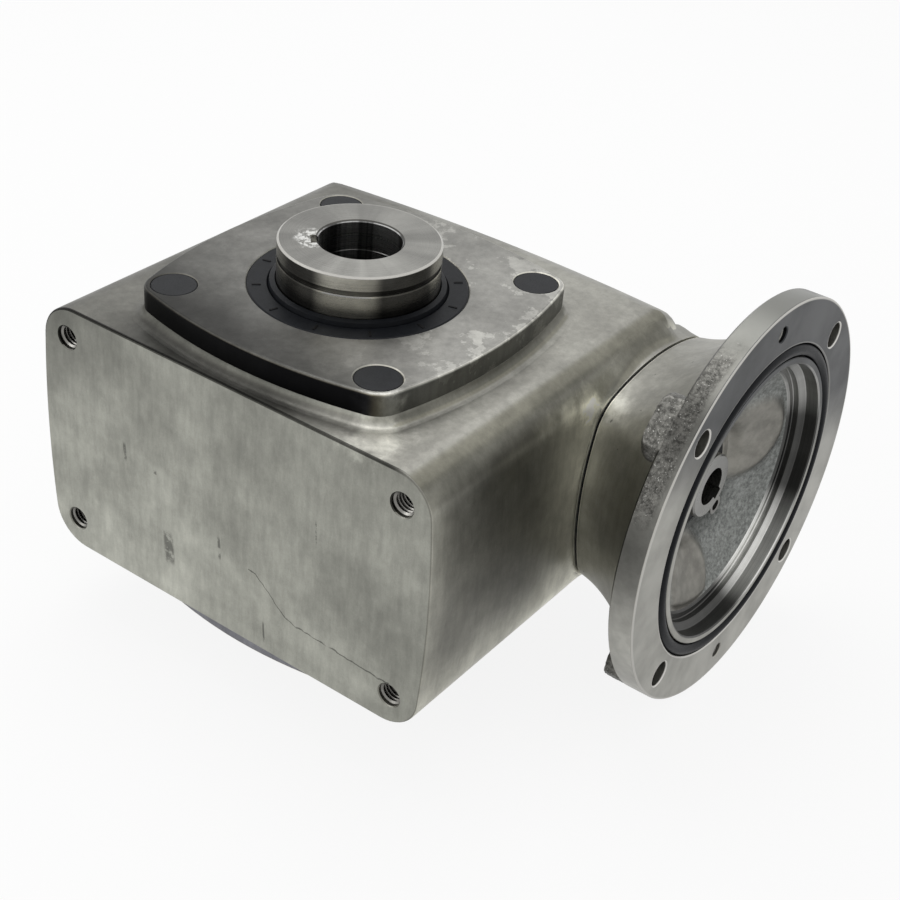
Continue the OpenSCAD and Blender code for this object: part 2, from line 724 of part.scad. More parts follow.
module output_inner_race() {
    translate([0, 0, bearing_low_z])
        inner_race(output_bearing_bore_r, output_bearing_r, output_bearing_width, output_ball_r);
}
module output_outer_race() {
    translate([0, 0, bearing_low_z])
        outer_race(output_bearing_bore_r, output_bearing_r, output_bearing_width, output_ball_r);
}
module output_ball_set() {
    translate([0, 0, bearing_low_z])
        bearing_balls(output_bearing_bore_r, output_bearing_r, output_bearing_width, output_ball_r, output_balls);
}
module output_ball_cage() {
    translate([0, 0, bearing_low_z])
        bearing_cage(output_bearing_bore_r, output_bearing_r, output_bearing_width, output_ball_r, output_balls);
}
module worm_inner_race(x) {
    on_worm_axis(x) inner_race(worm_bearing_bore_r, worm_bearing_r, worm_bearing_width, worm_ball_r);
}
module worm_outer_race(x) {
    on_worm_axis(x) outer_race(worm_bearing_bore_r, worm_bearing_r, worm_bearing_width, worm_ball_r);
}
module worm_ball_set(x) {
    on_worm_axis(x)
        bearing_balls(worm_bearing_bore_r, worm_bearing_r, worm_bearing_width, worm_ball_r, worm_balls);
}
module worm_ball_cage(x) {
    on_worm_axis(x)
        bearing_cage(worm_bearing_bore_r, worm_bearing_r, worm_bearing_width, worm_ball_r, worm_balls);
}

// Cross-section of the worm: the radius at each angle, from the thread's profile along the axis.
function thread_radius(angle) =
    let (turn = 360 / worm_starts,
        offset = abs(((angle % turn) + 1.5 * turn) % turn - turn / 2) / 360 * lead,
        half_thread = axial_pitch / 4 - worm_flank_play)
    max(worm_root_r, min(worm_tip_r, worm_pitch_r + (half_thread - offset) / tan(flank_angle)));

// Angles at which the cross-section is drawn: the ends of crest, flank and root, and points between.
function thread_angles() =
    let (half_thread = axial_pitch / 4 - worm_flank_play,
        crest = 360 * (half_thread - gear_module * tan(flank_angle)) / lead,
        root = 360 * (half_thread + (worm_pitch_r - worm_root_r) * tan(flank_angle)) / lead,
        turn = 360 / worm_starts,
        side = [crest, (2 * crest + root) / 3, (crest + 2 * root) / 3, root],
        half = concat([0], side, [(root + turn / 2) / 2]))
    [for (s = [0:worm_starts - 1]) each concat(
        [for (i = [len(half) - 1:-1:1]) s * turn - half[i]],
        [for (a = half) s * turn + a],
        [s * turn + turn / 2])];

module worm_thread() {
    turns = worm_thread_length / lead;
    section = [for (a = thread_angles()) thread_radius(a) * [cos(a), sin(a)]];
    rotate(-180 * turns)
        linear_extrude(worm_thread_length, twist = -360 * turns,
            slices = ceil(worm_slices_per_turn * turns), $fn = len(section))
        polygon(section);
}

// Worm shaft: thread, waists, bearing collars and journals, and the hollow keyed hub for the motor.
module worm_shaft() {
    thread_end = worm_thread_length / 2;
    front_collar_x = front_bearing_x - shaft_collar_width;
    hub_start_x = input_seal_x + input_seal_width + 1.2;
    ear_length = 5.8;
    color([0.48, 0.48, 0.50])
    difference() {
        on_worm_axis(0) {
            translate([0, 0, -thread_end]) worm_thread();
            translate([0, 0, thread_end]) cylinder(h = front_collar_x - thread_end, r = shaft_waist_r);
            translate([0, 0, front_collar_x]) cylinder(h = shaft_collar_width, r = shaft_collar_r);
            translate([0, 0, front_bearing_x])
                cylinder(h = hub_start_x - front_bearing_x, r = worm_bearing_bore_r);
            translate([0, 0, hub_start_x])
                cylinder(h = hub_end_x - hub_start_x - edge_break, r = input_hub_r);
            translate([0, 0, hub_end_x - edge_break])
                cylinder(h = edge_break, r1 = input_hub_r, r2 = input_hub_r - edge_break);
            rotate(90 + hub_ear_angle) translate([hub_ear_reach, 0, hub_end_x - edge_break - ear_length])
                cylinder(h = ear_length, r = hub_ear_r);
            translate([0, 0, rear_bearing_x]) cylinder(h = shaft_collar_width, r = shaft_collar_r);
            translate([0, 0, rear_bearing_x + shaft_collar_width])
                cylinder(h = -thread_end - rear_bearing_x - shaft_collar_width, r = shaft_waist_r);
            translate([0, 0, rear_bearing_x - worm_bearing_width])
                cylinder(h = worm_bearing_width, r = worm_bearing_bore_r);
        }
        on_worm_axis(0) {
            translate([0, 0, hub_end_x - input_bore_depth])
                cylinder(h = input_bore_depth + overshoot, r = input_bore_r);
            rotate(90 + input_key_angle)
                translate([0, -input_key_width / 2, hub_end_x - input_bore_depth])
                cube([input_bore_r + input_key_depth, input_key_width, input_bore_depth + overshoot]);
            rotate(90 + hub_ear_angle)
                translate([hub_ear_reach, 0, hub_end_x - edge_break - ear_length - overshoot])
                cylinder(h = ear_length + 2 * overshoot, r = hub_ear_hole_r);
        }
    }
}

module input_seal() {
    color([0.06, 0.06, 0.07])
    on_worm_axis(input_seal_x) ring(worm_bearing_bore_r + running_gap, input_seal_r, input_seal_width);
}

// Cap that closes the far end of the worm tunnel and holds the rear bearing.
module end_cap() {
    cap_r = worm_bearing_r - slip_gap;
    color([0.50, 0.50, 0.48])
    on_worm_axis(end_cap_x) difference() {
        cylinder(h = end_cap_thickness, r = cap_r);
        translate([0, 0, end_cap_thickness - end_cap_rim])
            cylinder(h = end_cap_rim + overshoot, r = worm_bearing_r - 5);
        translate([0, 0, 1.4]) ring(cap_r - 2.2, cap_r + overshoot, 2 * o_ring_r + 0.4);
    }
}

module end_cap_o_ring() {
    color([0.08, 0.08, 0.08])
    on_worm_axis(end_cap_x) o_ring(worm_bearing_r - slip_gap - 1.1, 1.4 + o_ring_r + 0.2);
}

// Snap ring that holds the end cap in the tunnel.
module end_cap_ring() {
    color([0.25, 0.25, 0.27])
    on_worm_axis(end_cap_x - end_ring_thickness) difference() {
        ring(worm_bearing_r - 3, worm_bearing_r + end_ring_depth - slip_gap, end_ring_thickness);
        translate([0, -5, -overshoot]) cube([worm_bearing_r + 4, 10, end_ring_thickness + 2 * overshoot]);
    }
}

// Two socket plugs in the oil holes at the back.
module oil_plugs() {
    plug_depth = 9;
    plug_y = back_y - oil_plug_setback - plug_depth;
    color([0.32, 0.32, 0.33])
    for (sx = [-1, 1]) translate([sx * oil_hole_x, plug_y, 0]) rotate([-90, 0, 0])
        difference() {
            cylinder(h = plug_depth, r = oil_hole_r);
            translate([0, 0, plug_depth - 5]) cylinder(h = 6, r = oil_plug_socket_r, $fn = 6);
        }
}

// Turns a piece made for the upper side into the one below.
module below() {
    mirror([0, 0, 1]) children();
}

housing();
adapter();
adapter_gasket();
flange_o_ring();
cover();  // cover_top
below() cover();  // cover_bottom
cover_o_ring();  // cover_o_ring_top
below() cover_o_ring();  // cover_o_ring_bottom
cover_screws();  // cover_screws_top
below() cover_screws();  // cover_screws_bottom
screw_plugs();  // screw_plugs_top
below() screw_plugs();  // screw_plugs_bottom
output_seal();  // output_seal_top
below() output_seal();  // output_seal_bottom
output_shaft();
worm_wheel();
wheel_key();
wheel_screws();
wheel_spacer();
shaft_ring();  // shaft_ring_top
below() shaft_ring();  // shaft_ring_bottom
output_inner_race();  // output_inner_race_top
output_outer_race();  // output_outer_race_top
output_ball_set();  // output_balls_top
output_ball_cage();  // output_cage_top
below() output_inner_race();  // output_inner_race_bottom
below() output_outer_race();  // output_outer_race_bottom
below() output_ball_set();  // output_balls_bottom
below() output_ball_cage();  // output_cage_bottom
worm_shaft();
worm_inner_race(front_bearing_x);  // worm_inner_race_front
worm_outer_race(front_bearing_x);  // worm_outer_race_front
worm_ball_set(front_bearing_x);  // worm_balls_front
worm_ball_cage(front_bearing_x);  // worm_cage_front
worm_inner_race(rear_bearing_x - worm_bearing_width);  // worm_inner_race_rear
worm_outer_race(rear_bearing_x - worm_bearing_width);  // worm_outer_race_rear
worm_ball_set(rear_bearing_x - worm_bearing_width);  // worm_balls_rear
worm_ball_cage(rear_bearing_x - worm_bearing_width);  // worm_cage_rear
input_seal();
end_cap();
end_cap_o_ring();
end_cap_ring();
oil_plugs();
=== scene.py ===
import bmesh
import bpy
import json
import math
from mathutils import Matrix, Vector, noise


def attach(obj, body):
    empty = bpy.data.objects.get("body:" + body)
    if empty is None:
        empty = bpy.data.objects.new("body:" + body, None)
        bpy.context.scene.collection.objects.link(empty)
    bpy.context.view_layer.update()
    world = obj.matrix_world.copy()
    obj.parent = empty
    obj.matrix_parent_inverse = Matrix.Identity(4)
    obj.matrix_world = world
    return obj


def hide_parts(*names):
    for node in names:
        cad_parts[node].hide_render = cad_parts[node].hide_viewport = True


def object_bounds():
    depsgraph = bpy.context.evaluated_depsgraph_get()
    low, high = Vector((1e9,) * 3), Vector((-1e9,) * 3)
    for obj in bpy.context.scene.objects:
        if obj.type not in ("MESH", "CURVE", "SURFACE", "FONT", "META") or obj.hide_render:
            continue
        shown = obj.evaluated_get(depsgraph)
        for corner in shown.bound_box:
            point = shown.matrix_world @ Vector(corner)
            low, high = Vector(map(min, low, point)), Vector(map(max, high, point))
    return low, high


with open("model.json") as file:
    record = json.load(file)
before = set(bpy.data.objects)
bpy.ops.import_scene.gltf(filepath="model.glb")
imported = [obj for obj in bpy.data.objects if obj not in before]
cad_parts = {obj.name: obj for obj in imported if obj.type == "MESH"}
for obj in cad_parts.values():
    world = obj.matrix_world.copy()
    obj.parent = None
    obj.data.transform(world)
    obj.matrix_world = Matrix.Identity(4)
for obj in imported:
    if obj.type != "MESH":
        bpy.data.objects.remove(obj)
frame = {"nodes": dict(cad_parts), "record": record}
nodes = frame["nodes"]
cad_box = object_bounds()

MM = 0.001

# Sizes in millimetres, the same as in the CAD
WORM_Y = 66.675
HALF_LENGTH, HALF_HEIGHT = 94.5, 55.0
BASE_Y, BACK_Y = -73.6, 109.175
WALL_R, END_R, BACK_R = 16, 13, 28
END_BOW, BACK_BULGE = 1.6, 4.5
BASE_HOLE_R, BASE_HOLE_DEPTH = 4.76, 19
SEAT_Z, COVER_TOP = 58.5, 67.3
COVER_SCREW = 48.5  # of each cover screw from the output axis, along X and along Y
HUB_TOP = 85.8
FLANGE_FACE = 143.9
FLANGE_BACK = 133.3
FLANGE_R = 84.14
PILOT_R = 57.15
GROOVE_R = 66.0
BELL_R = 51.2
MOTOR_CIRCLE = 149.225
MOTOR_HOLE_R = 5.2
BOLT_PLACE = 52.76  # of each motor bolt from the worm's axis, along Y and along Z
HOLE_CHAMFER = 0.4

# Smooth lobes on the bell's floor: place along Y and Z from the worm's axis, and reach
LOBES = ((30.0, 8.0, 21.5), (-12.0, -38.0, 20.0))

# Camera, solved from the flange circles, the bores and the base holes
SENSOR_MM = 36.0
IMAGE_PIXELS = 900
FOCAL_PIXELS = 1650.9
CAMERA_PLACE = Vector((340.65, -436.65, 360.69)) * MM
CAMERA_RIGHT = Vector((0.80065, 0.59464, 0.07323))
CAMERA_UP = Vector((-0.37849, 0.40724, 0.83121))


def add_camera():
    data = bpy.data.cameras.new("camera")
    camera = bpy.data.objects.new("camera", data)
    bpy.context.scene.collection.objects.link(camera)
    back = CAMERA_RIGHT.cross(CAMERA_UP)
    turn = Matrix((CAMERA_RIGHT, CAMERA_UP, back)).transposed()
    camera.matrix_world = Matrix.Translation(CAMERA_PLACE) @ turn.to_4x4()
    data.sensor_width = SENSOR_MM
    data.lens = FOCAL_PIXELS * SENSOR_MM / IMAGE_PIXELS
    data.clip_start, data.clip_end = 0.02, 20
    bpy.context.scene.camera = camera


add_camera()


# Finishes

class Value:
    """A number, colour or vector inside a finish, so that shader maths reads as plain maths."""

    def __init__(self, finish, socket):
        self.finish, self.socket = finish, socket

    def maths(self, operation, first, second):
        return self.finish.node("Math", {0: first, 1: second}, operation=operation)

    def __add__(self, other):
        return self.maths("ADD", self, other)

    def __sub__(self, other):
        return self.maths("SUBTRACT", self, other)

    def __mul__(self, other):
        return self.maths("MULTIPLY", self, other)

    def __truediv__(self, other):
        return self.maths("DIVIDE", self, other)

    def __pow__(self, other):
        return self.maths("POWER", self, other)

    def __rsub__(self, other):
        return self.maths("SUBTRACT", other, self)

    def __gt__(self, other):
        return self.maths("GREATER_THAN", self, other)

    def __lt__(self, other):
        return self.maths("LESS_THAN", self, other)

    __radd__, __rmul__ = __add__, __mul__

    def within(self, middle, width):
        """1 where this value is within width of middle, fading out round it."""
        return abs(self - middle).between(width * 0.5, width, 1.0, 0.0)

    def __abs__(self):
        return self.finish.node("Math", {0: self}, operation="ABSOLUTE")

    def part(self, axis):
        split = self.finish.node("SeparateXYZ", {0: self})
        return Value(self.finish, split.socket.node.outputs[axis])

    def between(self, low, high, to_low=0.0, to_high=1.0):
        """Follows this value smoothly from to_low at low to to_high at high."""
        return self.finish.node("MapRange", {0: self, 1: low, 2: high, 3: to_low, 4: to_high},
                                interpolation_type="SMOOTHSTEP")


class Finish:
    """A material with a Principled shader and a short way to add its nodes."""

    def __init__(self, name, metallic=0.0, roughness=0.5, colour=(0.5, 0.5, 0.5)):
        self.material = bpy.data.materials.new(name)
        self.material.use_nodes = True
        self.tree = self.material.node_tree
        self.shader = self.tree.nodes["Principled BSDF"]
        self.bump_normal = None
        self.set("Metallic", metallic)
        self.set("Roughness", roughness)
        self.set("Base Color", (*colour, 1))

    def node(self, kind, sockets, out=0, **settings):
        """Adds a shader node with these inputs and settings; gives one of its outputs."""
        made = self.tree.nodes.new("ShaderNode" + kind)
        for key, value in settings.items():
            setattr(made, key, value)
        for key, value in sockets.items():
            self.join(made.inputs[key], value)
        return Value(self, made.outputs[out])

    def join(self, socket, value):
        if isinstance(value, Value):
            self.tree.links.new(value.socket, socket)
        else:
            socket.default_value = value

    def set(self, name, value):
        self.join(self.shader.inputs[name], value)

    def place(self, centre=(0, 0, 0), scale=(1000, 1000, 1000)):
        """Object coordinates in millimetres, about a centre given in metres."""
        where = self.node("TexCoord", {}, out="Object")
        shift = [-c * s for c, s in zip(centre, scale)]
        return self.node("Mapping", {"Vector": where, "Location": shift, "Scale": scale})

    def parts(self, centre=(0, 0, 0)):
        """The three object coordinates in millimetres."""
        where = self.place(centre)
        return [where.part(axis) for axis in range(3)]

    def facing(self, axis):
        """How far the surface faces along one axis of the object, from -1 to 1."""
        return self.node("TexCoord", {}, out="Normal").part(axis)

    def noise(self, size, detail=2.0, rough=0.5, where=None, stretch=None, seed=0.0):
        """Cloudy value from 0 to 1 whose patches are about size millimetres across."""
        where = where or self.place(scale=stretch or (1000, 1000, 1000))
        return self.node("TexNoise", {"Vector": where, "W": seed, "Scale": 1.0 / size,
                                      "Detail": detail, "Roughness": rough}, noise_dimensions="4D")

    def spokes(self, centre, across, seed=0.0):
        """Cloudy value that stays the same along each radius from a centre line."""
        flat = self.node("VectorMath", {0: self.place(centre), 1: across}, operation="MULTIPLY")
        unit = self.node("VectorMath", {0: flat}, operation="NORMALIZE")
        return self.noise(0.42, detail=3, rough=0.6, where=unit, seed=seed)

    def rings(self, r, height, fineness, seed=0.0):
        """Cloudy value of fine turned rings, from a radius and a height."""
        where = self.node("CombineXYZ", {0: r * fineness, 1: height * fineness})
        return self.noise(1.0, detail=3, rough=0.7, where=where, seed=seed)

    def near(self, spot, radius, core=0.25):
        """1 at a spot given in millimetres, fading to 0 at radius."""
        gap = self.node("VectorMath", {0: self.place(), 1: spot}, out="Value", operation="DISTANCE")
        ragged = self.noise(radius * 0.35, detail=3, rough=0.6, seed=radius) - 0.5
        return (gap + ragged * radius * 1.2).between(radius * core, radius, 1.0, 0.0)

    def toward(self, direction, low, high):
        """1 where the surface faces a direction, from low to high of the cosine between them."""
        normal = self.node("TexCoord", {}, out="Normal")
        dot = self.node("VectorMath", {0: normal, 1: direction}, out="Value", operation="DOT_PRODUCT")
        return dot.between(low, high)

    def mix(self, factor, first, second):
        """Colour that goes from first to second."""
        first = (*first, 1) if isinstance(first, tuple) else first
        second = (*second, 1) if isinstance(second, tuple) else second
        return self.node("Mix", {"Factor": factor, 6: first, 7: second}, out=2, data_type="RGBA")

    def shade(self, colour, strength):
        """A colour made lighter or darker by a value."""
        colour = colour if isinstance(colour, Value) else tuple(colour)
        return self.node("VectorMath", {0: colour, "Scale": strength}, operation="SCALE")

    def relief(self, height, depth):
        """Bump from a value between 0 and 1; depth is in millimetres."""
        inputs = {"Height": height, "Strength": 1.0, "Distance": depth * MM}
        if self.bump_normal:
            inputs["Normal"] = self.bump_normal
        self.bump_normal = self.node("Bump", inputs)
        self.set("Normal", self.bump_normal)


def coarse_skin(finish, tone, mask, depth=0.2):
    """Raw cast skin with pits, and painted sparkle on bright grains, where mask is 1; gives the new tone.
    """
    lumps = finish.noise(1.5, detail=5, rough=0.7, seed=31)
    grains = finish.noise(0.7, detail=3, rough=0.6, seed=33)
    dark = finish.shade((0.115, 0.113, 0.104), lumps.between(0.3, 0.7, 0.4, 1.7))
    # Painted sparkle on bright grains
    raw = finish.mix(grains.between(0.6, 0.7), dark, (0.44, 0.435, 0.41))
    raw = finish.mix(grains.between(0.3, 0.38, 1.0, 0.0) * 0.8, raw, (0.03, 0.03, 0.028))
    finish.relief(lumps * mask, depth)
    return finish.mix(mask, tone, raw)


WORM_CENTRE = (0, WORM_Y * MM, 0)


def bolt_gap(finish):
    """Distance from the nearest of the motor flange's bolts, in millimetres."""
    u, v = (abs(value) - BOLT_PLACE for value in finish.parts(WORM_CENTRE)[1:])
    return (u * u + v * v) ** 0.5


def cast_finish(name, top, base, end, other, seed=0.0, glints=(), marks=None, skin=None, rounding_shade=0.0):
    """Blasted cast stainless, with a tone of painted light and shade for each way it faces, cloudy stains
    and painted soft glints.

    marks gives a strength for the tone, from marks and painted light and shade, skin gives where it is
    raw, and the last argument is how much the painted shade bands show on the rounded edge at the end.
    """
    finish = Finish(name, metallic=1.0)
    # Painted light and shade: one tone for faces looking up, one for the end, one for the front and one
    # for the rest
    up = finish.facing(2).between(0.45, 0.9)
    front = finish.facing(1).between(-0.97, -0.75, 1.0, 0.0)
    right = finish.facing(0).between(0.45, 0.9)
    tone = finish.mix(up, other, top)
    tone = finish.mix(right, tone, end)
    # Painted shade: two dark bands along the rounded edge between the top and the end
    upper_band = finish.toward((0.5, 0.0, 0.866), 0.955, 0.995) * rounding_shade
    tone = finish.mix(upper_band, tone, (0.18, 0.174, 0.137))
    lower_band = finish.toward((0.8, 0.0, 0.6), 0.93, 0.985) * rounding_shade
    tone = finish.mix(lower_band, tone, (0.12, 0.118, 0.1))
    tone = finish.mix(front, tone, base)
    cloud = finish.noise(34, detail=6, rough=0.62, seed=seed)
    patch = finish.noise(9, detail=5, rough=0.6, seed=seed + 4)
    grains = finish.noise(0.55, detail=2, seed=seed + 7)
    streak = finish.noise(1.0, detail=4, rough=0.65, stretch=(320, 320, 70), seed=seed + 9)
    strength = (cloud.between(0.3, 0.7, 0.8, 1.18) * patch.between(0.25, 0.75, 0.9, 1.09)
                * grains.between(0.2, 0.8, 0.95, 1.05) * streak.between(0.3, 0.7, 0.9, 1.1))
    # Painted highlights round each glint
    for spot, radius, gain in glints:
        strength = strength * (1 + finish.near(spot, radius) * patch.between(0.3, 0.6, 0.6, 1.0) * gain)
    if marks:
        strength = strength * marks(finish)
    tone = finish.shade(tone, strength)
    if skin:
        tone = coarse_skin(finish, tone, skin(finish))
    finish.set("Base Color", tone)
    finish.set("Roughness", cloud.between(0.3, 0.7, 0.48, 0.37) + patch.between(0.3, 0.7, -0.03, 0.03))
    finish.relief(grains, 0.02)
    finish.relief(patch, 0.05)
    return finish.material


# Worn marks on the base: middle along X and Z, half width and half height
BASE_SPOTS = ((-51.4, 3.2, 1.0, 5.5), (-2.6, -18.0, 0.9, 6.5), (-29.0, -31.0, 3.4, 9.5),
              (-35.5, 1.3, 1.0, 1.2), (20.0, -46.0, 0.6, 6.0), (44.0, 12.0, 0.5, 7.0))


def base_marks_and_shade(finish):
    """Scratches, a hairline and worn spots on the tapped base, with painted light and shade on the base,
    the top and the end face.
    """
    x, y, z = finish.parts()
    on_base = y < BASE_Y + 0.6
    wander = finish.noise(3.0, detail=3, seed=41) * 2.4 - 1.2
    t = (x - 12.0) / 70.0
    curve = (-20.0 + wander) - t.between(0.0, 0.32) * 14.0 - t.between(0.1, 1.0) * 3.0
    broken = finish.noise(7, detail=2, seed=43).between(0.3, 0.5)
    line = (z - curve).within(0.0, 0.42) * (x > 12.0) * (x < 80.0) * broken
    worn = finish.noise(2.6, detail=4, rough=0.65, seed=45).between(0.36, 0.56)
    lean = 0.06
    for px, pz, wide, tall in BASE_SPOTS:
        line = line + (x + z * lean).within(px + pz * lean, wide) * z.within(pz, tall) * worn * 0.8
    # Painted shade darkens the base towards its upper far corner; painted light and shade make it lighter
    # towards its lower far corner and darker towards its upper near corner
    shaded_corner = (x - z * 0.9).between(-150.0, -60.0, 1.0, 0.0)
    strength = (1 - line.between(0.0, 1.0) * on_base * 0.6) * (1 - shaded_corner * on_base * 0.4)
    strength = strength * (1 + on_base * (x * 0.4 + z).between(-70.0, 50.0, 0.2, -0.17))
    # Painted shadow line along the base's upper edge, and painted shade in a dark strip on the top
    # between it and the cover
    edge = finish.facing(1).between(-0.995, -0.97) * x.between(74.0, 86.0, 1.0, 0.0)
    edge = edge * (y < BASE_Y + 1.2) * (z > 38.0)
    strip = z.between(48.0, 53.0) * y.between(-62.0, -50.0, 1.0, 0.0) * x.within(-12.0, 62.0)
    strip = strip * (y > BASE_Y + 0.3)
    strength = strength * (1 - edge * 0.85) * (1 - strip * 0.72)
    # Painted light: the end face is lighter at its lower edge, by the base and beside the neck
    on_end = (x > 86.0) * finish.facing(0).between(0.6, 0.9)
    lighter = z.between(-54.0, -18.0, 1.6, 0.0) + y.between(-20.0, 30.0, 0.0, 2.1) \
        + y.between(-73.0, -60.0, 0.6, 0.0)
    strength = strength * (1 + on_end * lighter)
    # Painted shade: the top face is darker towards its far end
    on_top = finish.facing(2).between(0.6, 0.9)
    return strength * (1 - on_top * x.between(-80.0, 30.0, 0.42, 0.0))


def bolt_pockets(finish):
    """Raw skin in the pockets behind the flange's bolt holes."""
    x = finish.place().part(0)
    ragged = bolt_gap(finish) + finish.noise(4, detail=3, seed=51) * 3.0
    return ragged.between(10.8, 12.5, 1.0, 0.0) * (x > 117.0)


def neck_specks_and_highlight(finish):
    """Painted highlight along the neck's rounded edge at the joint, and a few casting specks."""
    x = finish.place().part(0)
    specks = finish.noise(2.6, detail=2, rough=0.5, seed=71).between(0.72, 0.76)
    return (1 + x.within(96.2, 0.5) * 0.9) * (1 - specks * 0.5)


# Painted highlight for the flange rim's front edge and the hub's top edge
EDGE_HIGHLIGHT = (0.5, 0.49, 0.46)


def flange_finish():
    """Turned face, register and groove, a partly raw rim, and a cast floor with two smooth lobes."""
    finish = Finish("flange_stainless", metallic=1.0)
    x, dy, z = finish.parts(WORM_CENTRE)
    r = (dy * dy + z * z) ** 0.5
    cloud = finish.noise(26, detail=5, rough=0.6, seed=21)
    patch = finish.noise(7, detail=5, rough=0.62, seed=22)
    rays = finish.spokes(WORM_CENTRE, (0, 1, 1), seed=23)
    grains = finish.noise(0.5, detail=2, seed=24)
    rings = finish.rings(r, x, 6.0, seed=25)
    on_front = x > FLANGE_FACE - 0.7
    # Turned face, with painted light at the lower side and painted shade at the top
    shaded = (z + dy * 0.3).between(2.0, 46.0)
    face = finish.mix(shaded, (0.345, 0.34, 0.31), (0.038, 0.04, 0.042))
    back = finish.shade((0.21, 0.208, 0.19), patch.between(0.3, 0.7, 0.85, 1.15))
    face = finish.mix(x < FLANGE_BACK + 0.7, face, back)
    face = finish.shade(face, cloud.between(0.3, 0.7, 0.82, 1.15) * rays.between(0.3, 0.7, 0.85, 1.15))
    # Turned steps inside the register, with painted highlights on two sides
    low_side = ((dy * 0.62 - z * 0.78) / r).between(0.86, 0.99)
    high_side = ((dy * 0.8 + z * 0.6) / r).between(0.9, 0.99)
    bright = (0.28 + low_side * 2.0 + high_side * 0.9) * rings.between(0.3, 0.7, 0.7, 1.3) \
        * rays.between(0.3, 0.7, 0.8, 1.2)
    steps = finish.shade((0.26, 0.26, 0.25), bright)
    # Cast floor of the bell, with painted shade towards its middle and painted sparkle on bright grains
    lobes = sum((((dy - cy) ** 2 + (z - cz) ** 2) ** 0.5).between(reach - 6.0, reach, 1.0, 0.0)
                for cy, cz, reach in LOBES)
    coarse = finish.noise(1.4, detail=5, rough=0.7, seed=27)
    shadow = (cloud * 24.0 + r).between(34.0, 48.0, 0.5, 1.25)
    cast_tone = finish.shade((0.185, 0.192, 0.184), coarse.between(0.3, 0.7, 0.55, 1.4) * shadow)
    lobe_tone = finish.shade((0.235, 0.228, 0.205), patch.between(0.3, 0.7, 0.75, 1.2))
    floor_tone = finish.mix(lobes, cast_tone, lobe_tone)
    # Painted sparkle on bright grains of the floor
    floor_tone = finish.mix(coarse.between(0.63, 0.7) * (1 - lobes), floor_tone, (0.36, 0.365, 0.35))
    in_bell = (r < BELL_R) * (x < FLANGE_BACK + 0.7)
    tone = finish.mix(r.between(PILOT_R + 0.45, PILOT_R + 0.85), steps, face)
    tone = finish.mix(in_bell, tone, floor_tone)
    # Rim: painted light below, painted shade above that eases from the top towards the back, and a
    # painted highlight on its front edge
    rim = r.between(83.0, 83.6)
    upward = (z + dy * 0.2).between(-45.0, 5.0)
    rim_tone = finish.mix(upward, (0.46, 0.455, 0.42), (0.11, 0.109, 0.1))
    stains = cloud.between(0.3, 0.7, 0.8, 1.2) * patch.between(0.3, 0.7, 0.88, 1.1)
    rim_tone = finish.shade(rim_tone, stains)
    rim_tone = finish.mix(dy.between(-38.0, -6.0) * (z > 0.0), rim_tone, (0.2, 0.202, 0.187))
    tone = finish.mix(rim * (x < FLANGE_FACE - 0.6), tone, rim_tone)
    tone = finish.mix(rim * (x > FLANGE_FACE - 0.4), tone, EDGE_HIGHLIGHT)
    hole = bolt_gap(finish)
    raw = (hole + patch * 16.0).between(36.0, 46.0, 1.0, 0.0) * (r > 82.9) \
        * (x + cloud * 6.0).between(143.5, 145.5, 1.0, 0.0) * z.between(-30.0, -6.0)
    # Bolt holes with painted light on their walls and painted highlights on their mouths, and a painted
    # highlight on the groove's edge
    tone = finish.mix((hole < MOTOR_HOLE_R + 0.4) * (1 - on_front), tone, (0.34, 0.335, 0.31))
    tone = finish.mix((hole < MOTOR_HOLE_R + 0.55) * on_front, tone, (0.6, 0.59, 0.56))
    groove_edge = r.within(GROOVE_R, 0.5) * on_front * z.between(-70.0, 10.0, 1.0, 0.3)
    tone = finish.mix(groove_edge, tone, (0.55, 0.54, 0.51))
    tone = finish.shade(coarse_skin(finish, tone, raw, depth=0.16), 1 - raw * 0.35)
    finish.set("Base Color", tone)
    finish.set("Roughness", cloud.between(0.3, 0.7, 0.42, 0.33) + in_bell * 0.08)
    finish.relief(grains, 0.012)
    finish.relief(coarse * in_bell * (1 - lobes), 0.3)
    return finish.material


def raw_finish():
    """Raw cast skin all over, for the bosses behind the bolt holes."""
    finish = Finish("raw_cast_skin", metallic=1.0, roughness=0.45)
    finish.set("Base Color", coarse_skin(finish, (0.15, 0.148, 0.138), 1.0))
    return finish.material


def worm_finish():
    """Turned worm: fine rings round its axis and small stains."""
    finish = Finish("worm_steel", metallic=1.0)
    lines = finish.noise(1.0, detail=3, rough=0.7, stretch=(9000, 60, 60))
    stains = finish.noise(12, detail=4, seed=2).between(0.3, 0.7, 0.9, 1.08)
    tone = finish.shade((0.24, 0.238, 0.228), stains * lines.between(0.3, 0.7, 0.95, 1.05))
    finish.set("Base Color", tone)
    finish.set("Roughness", lines.between(0.3, 0.7, 0.25, 0.36))
    finish.relief(lines, 0.004)
    return finish.material


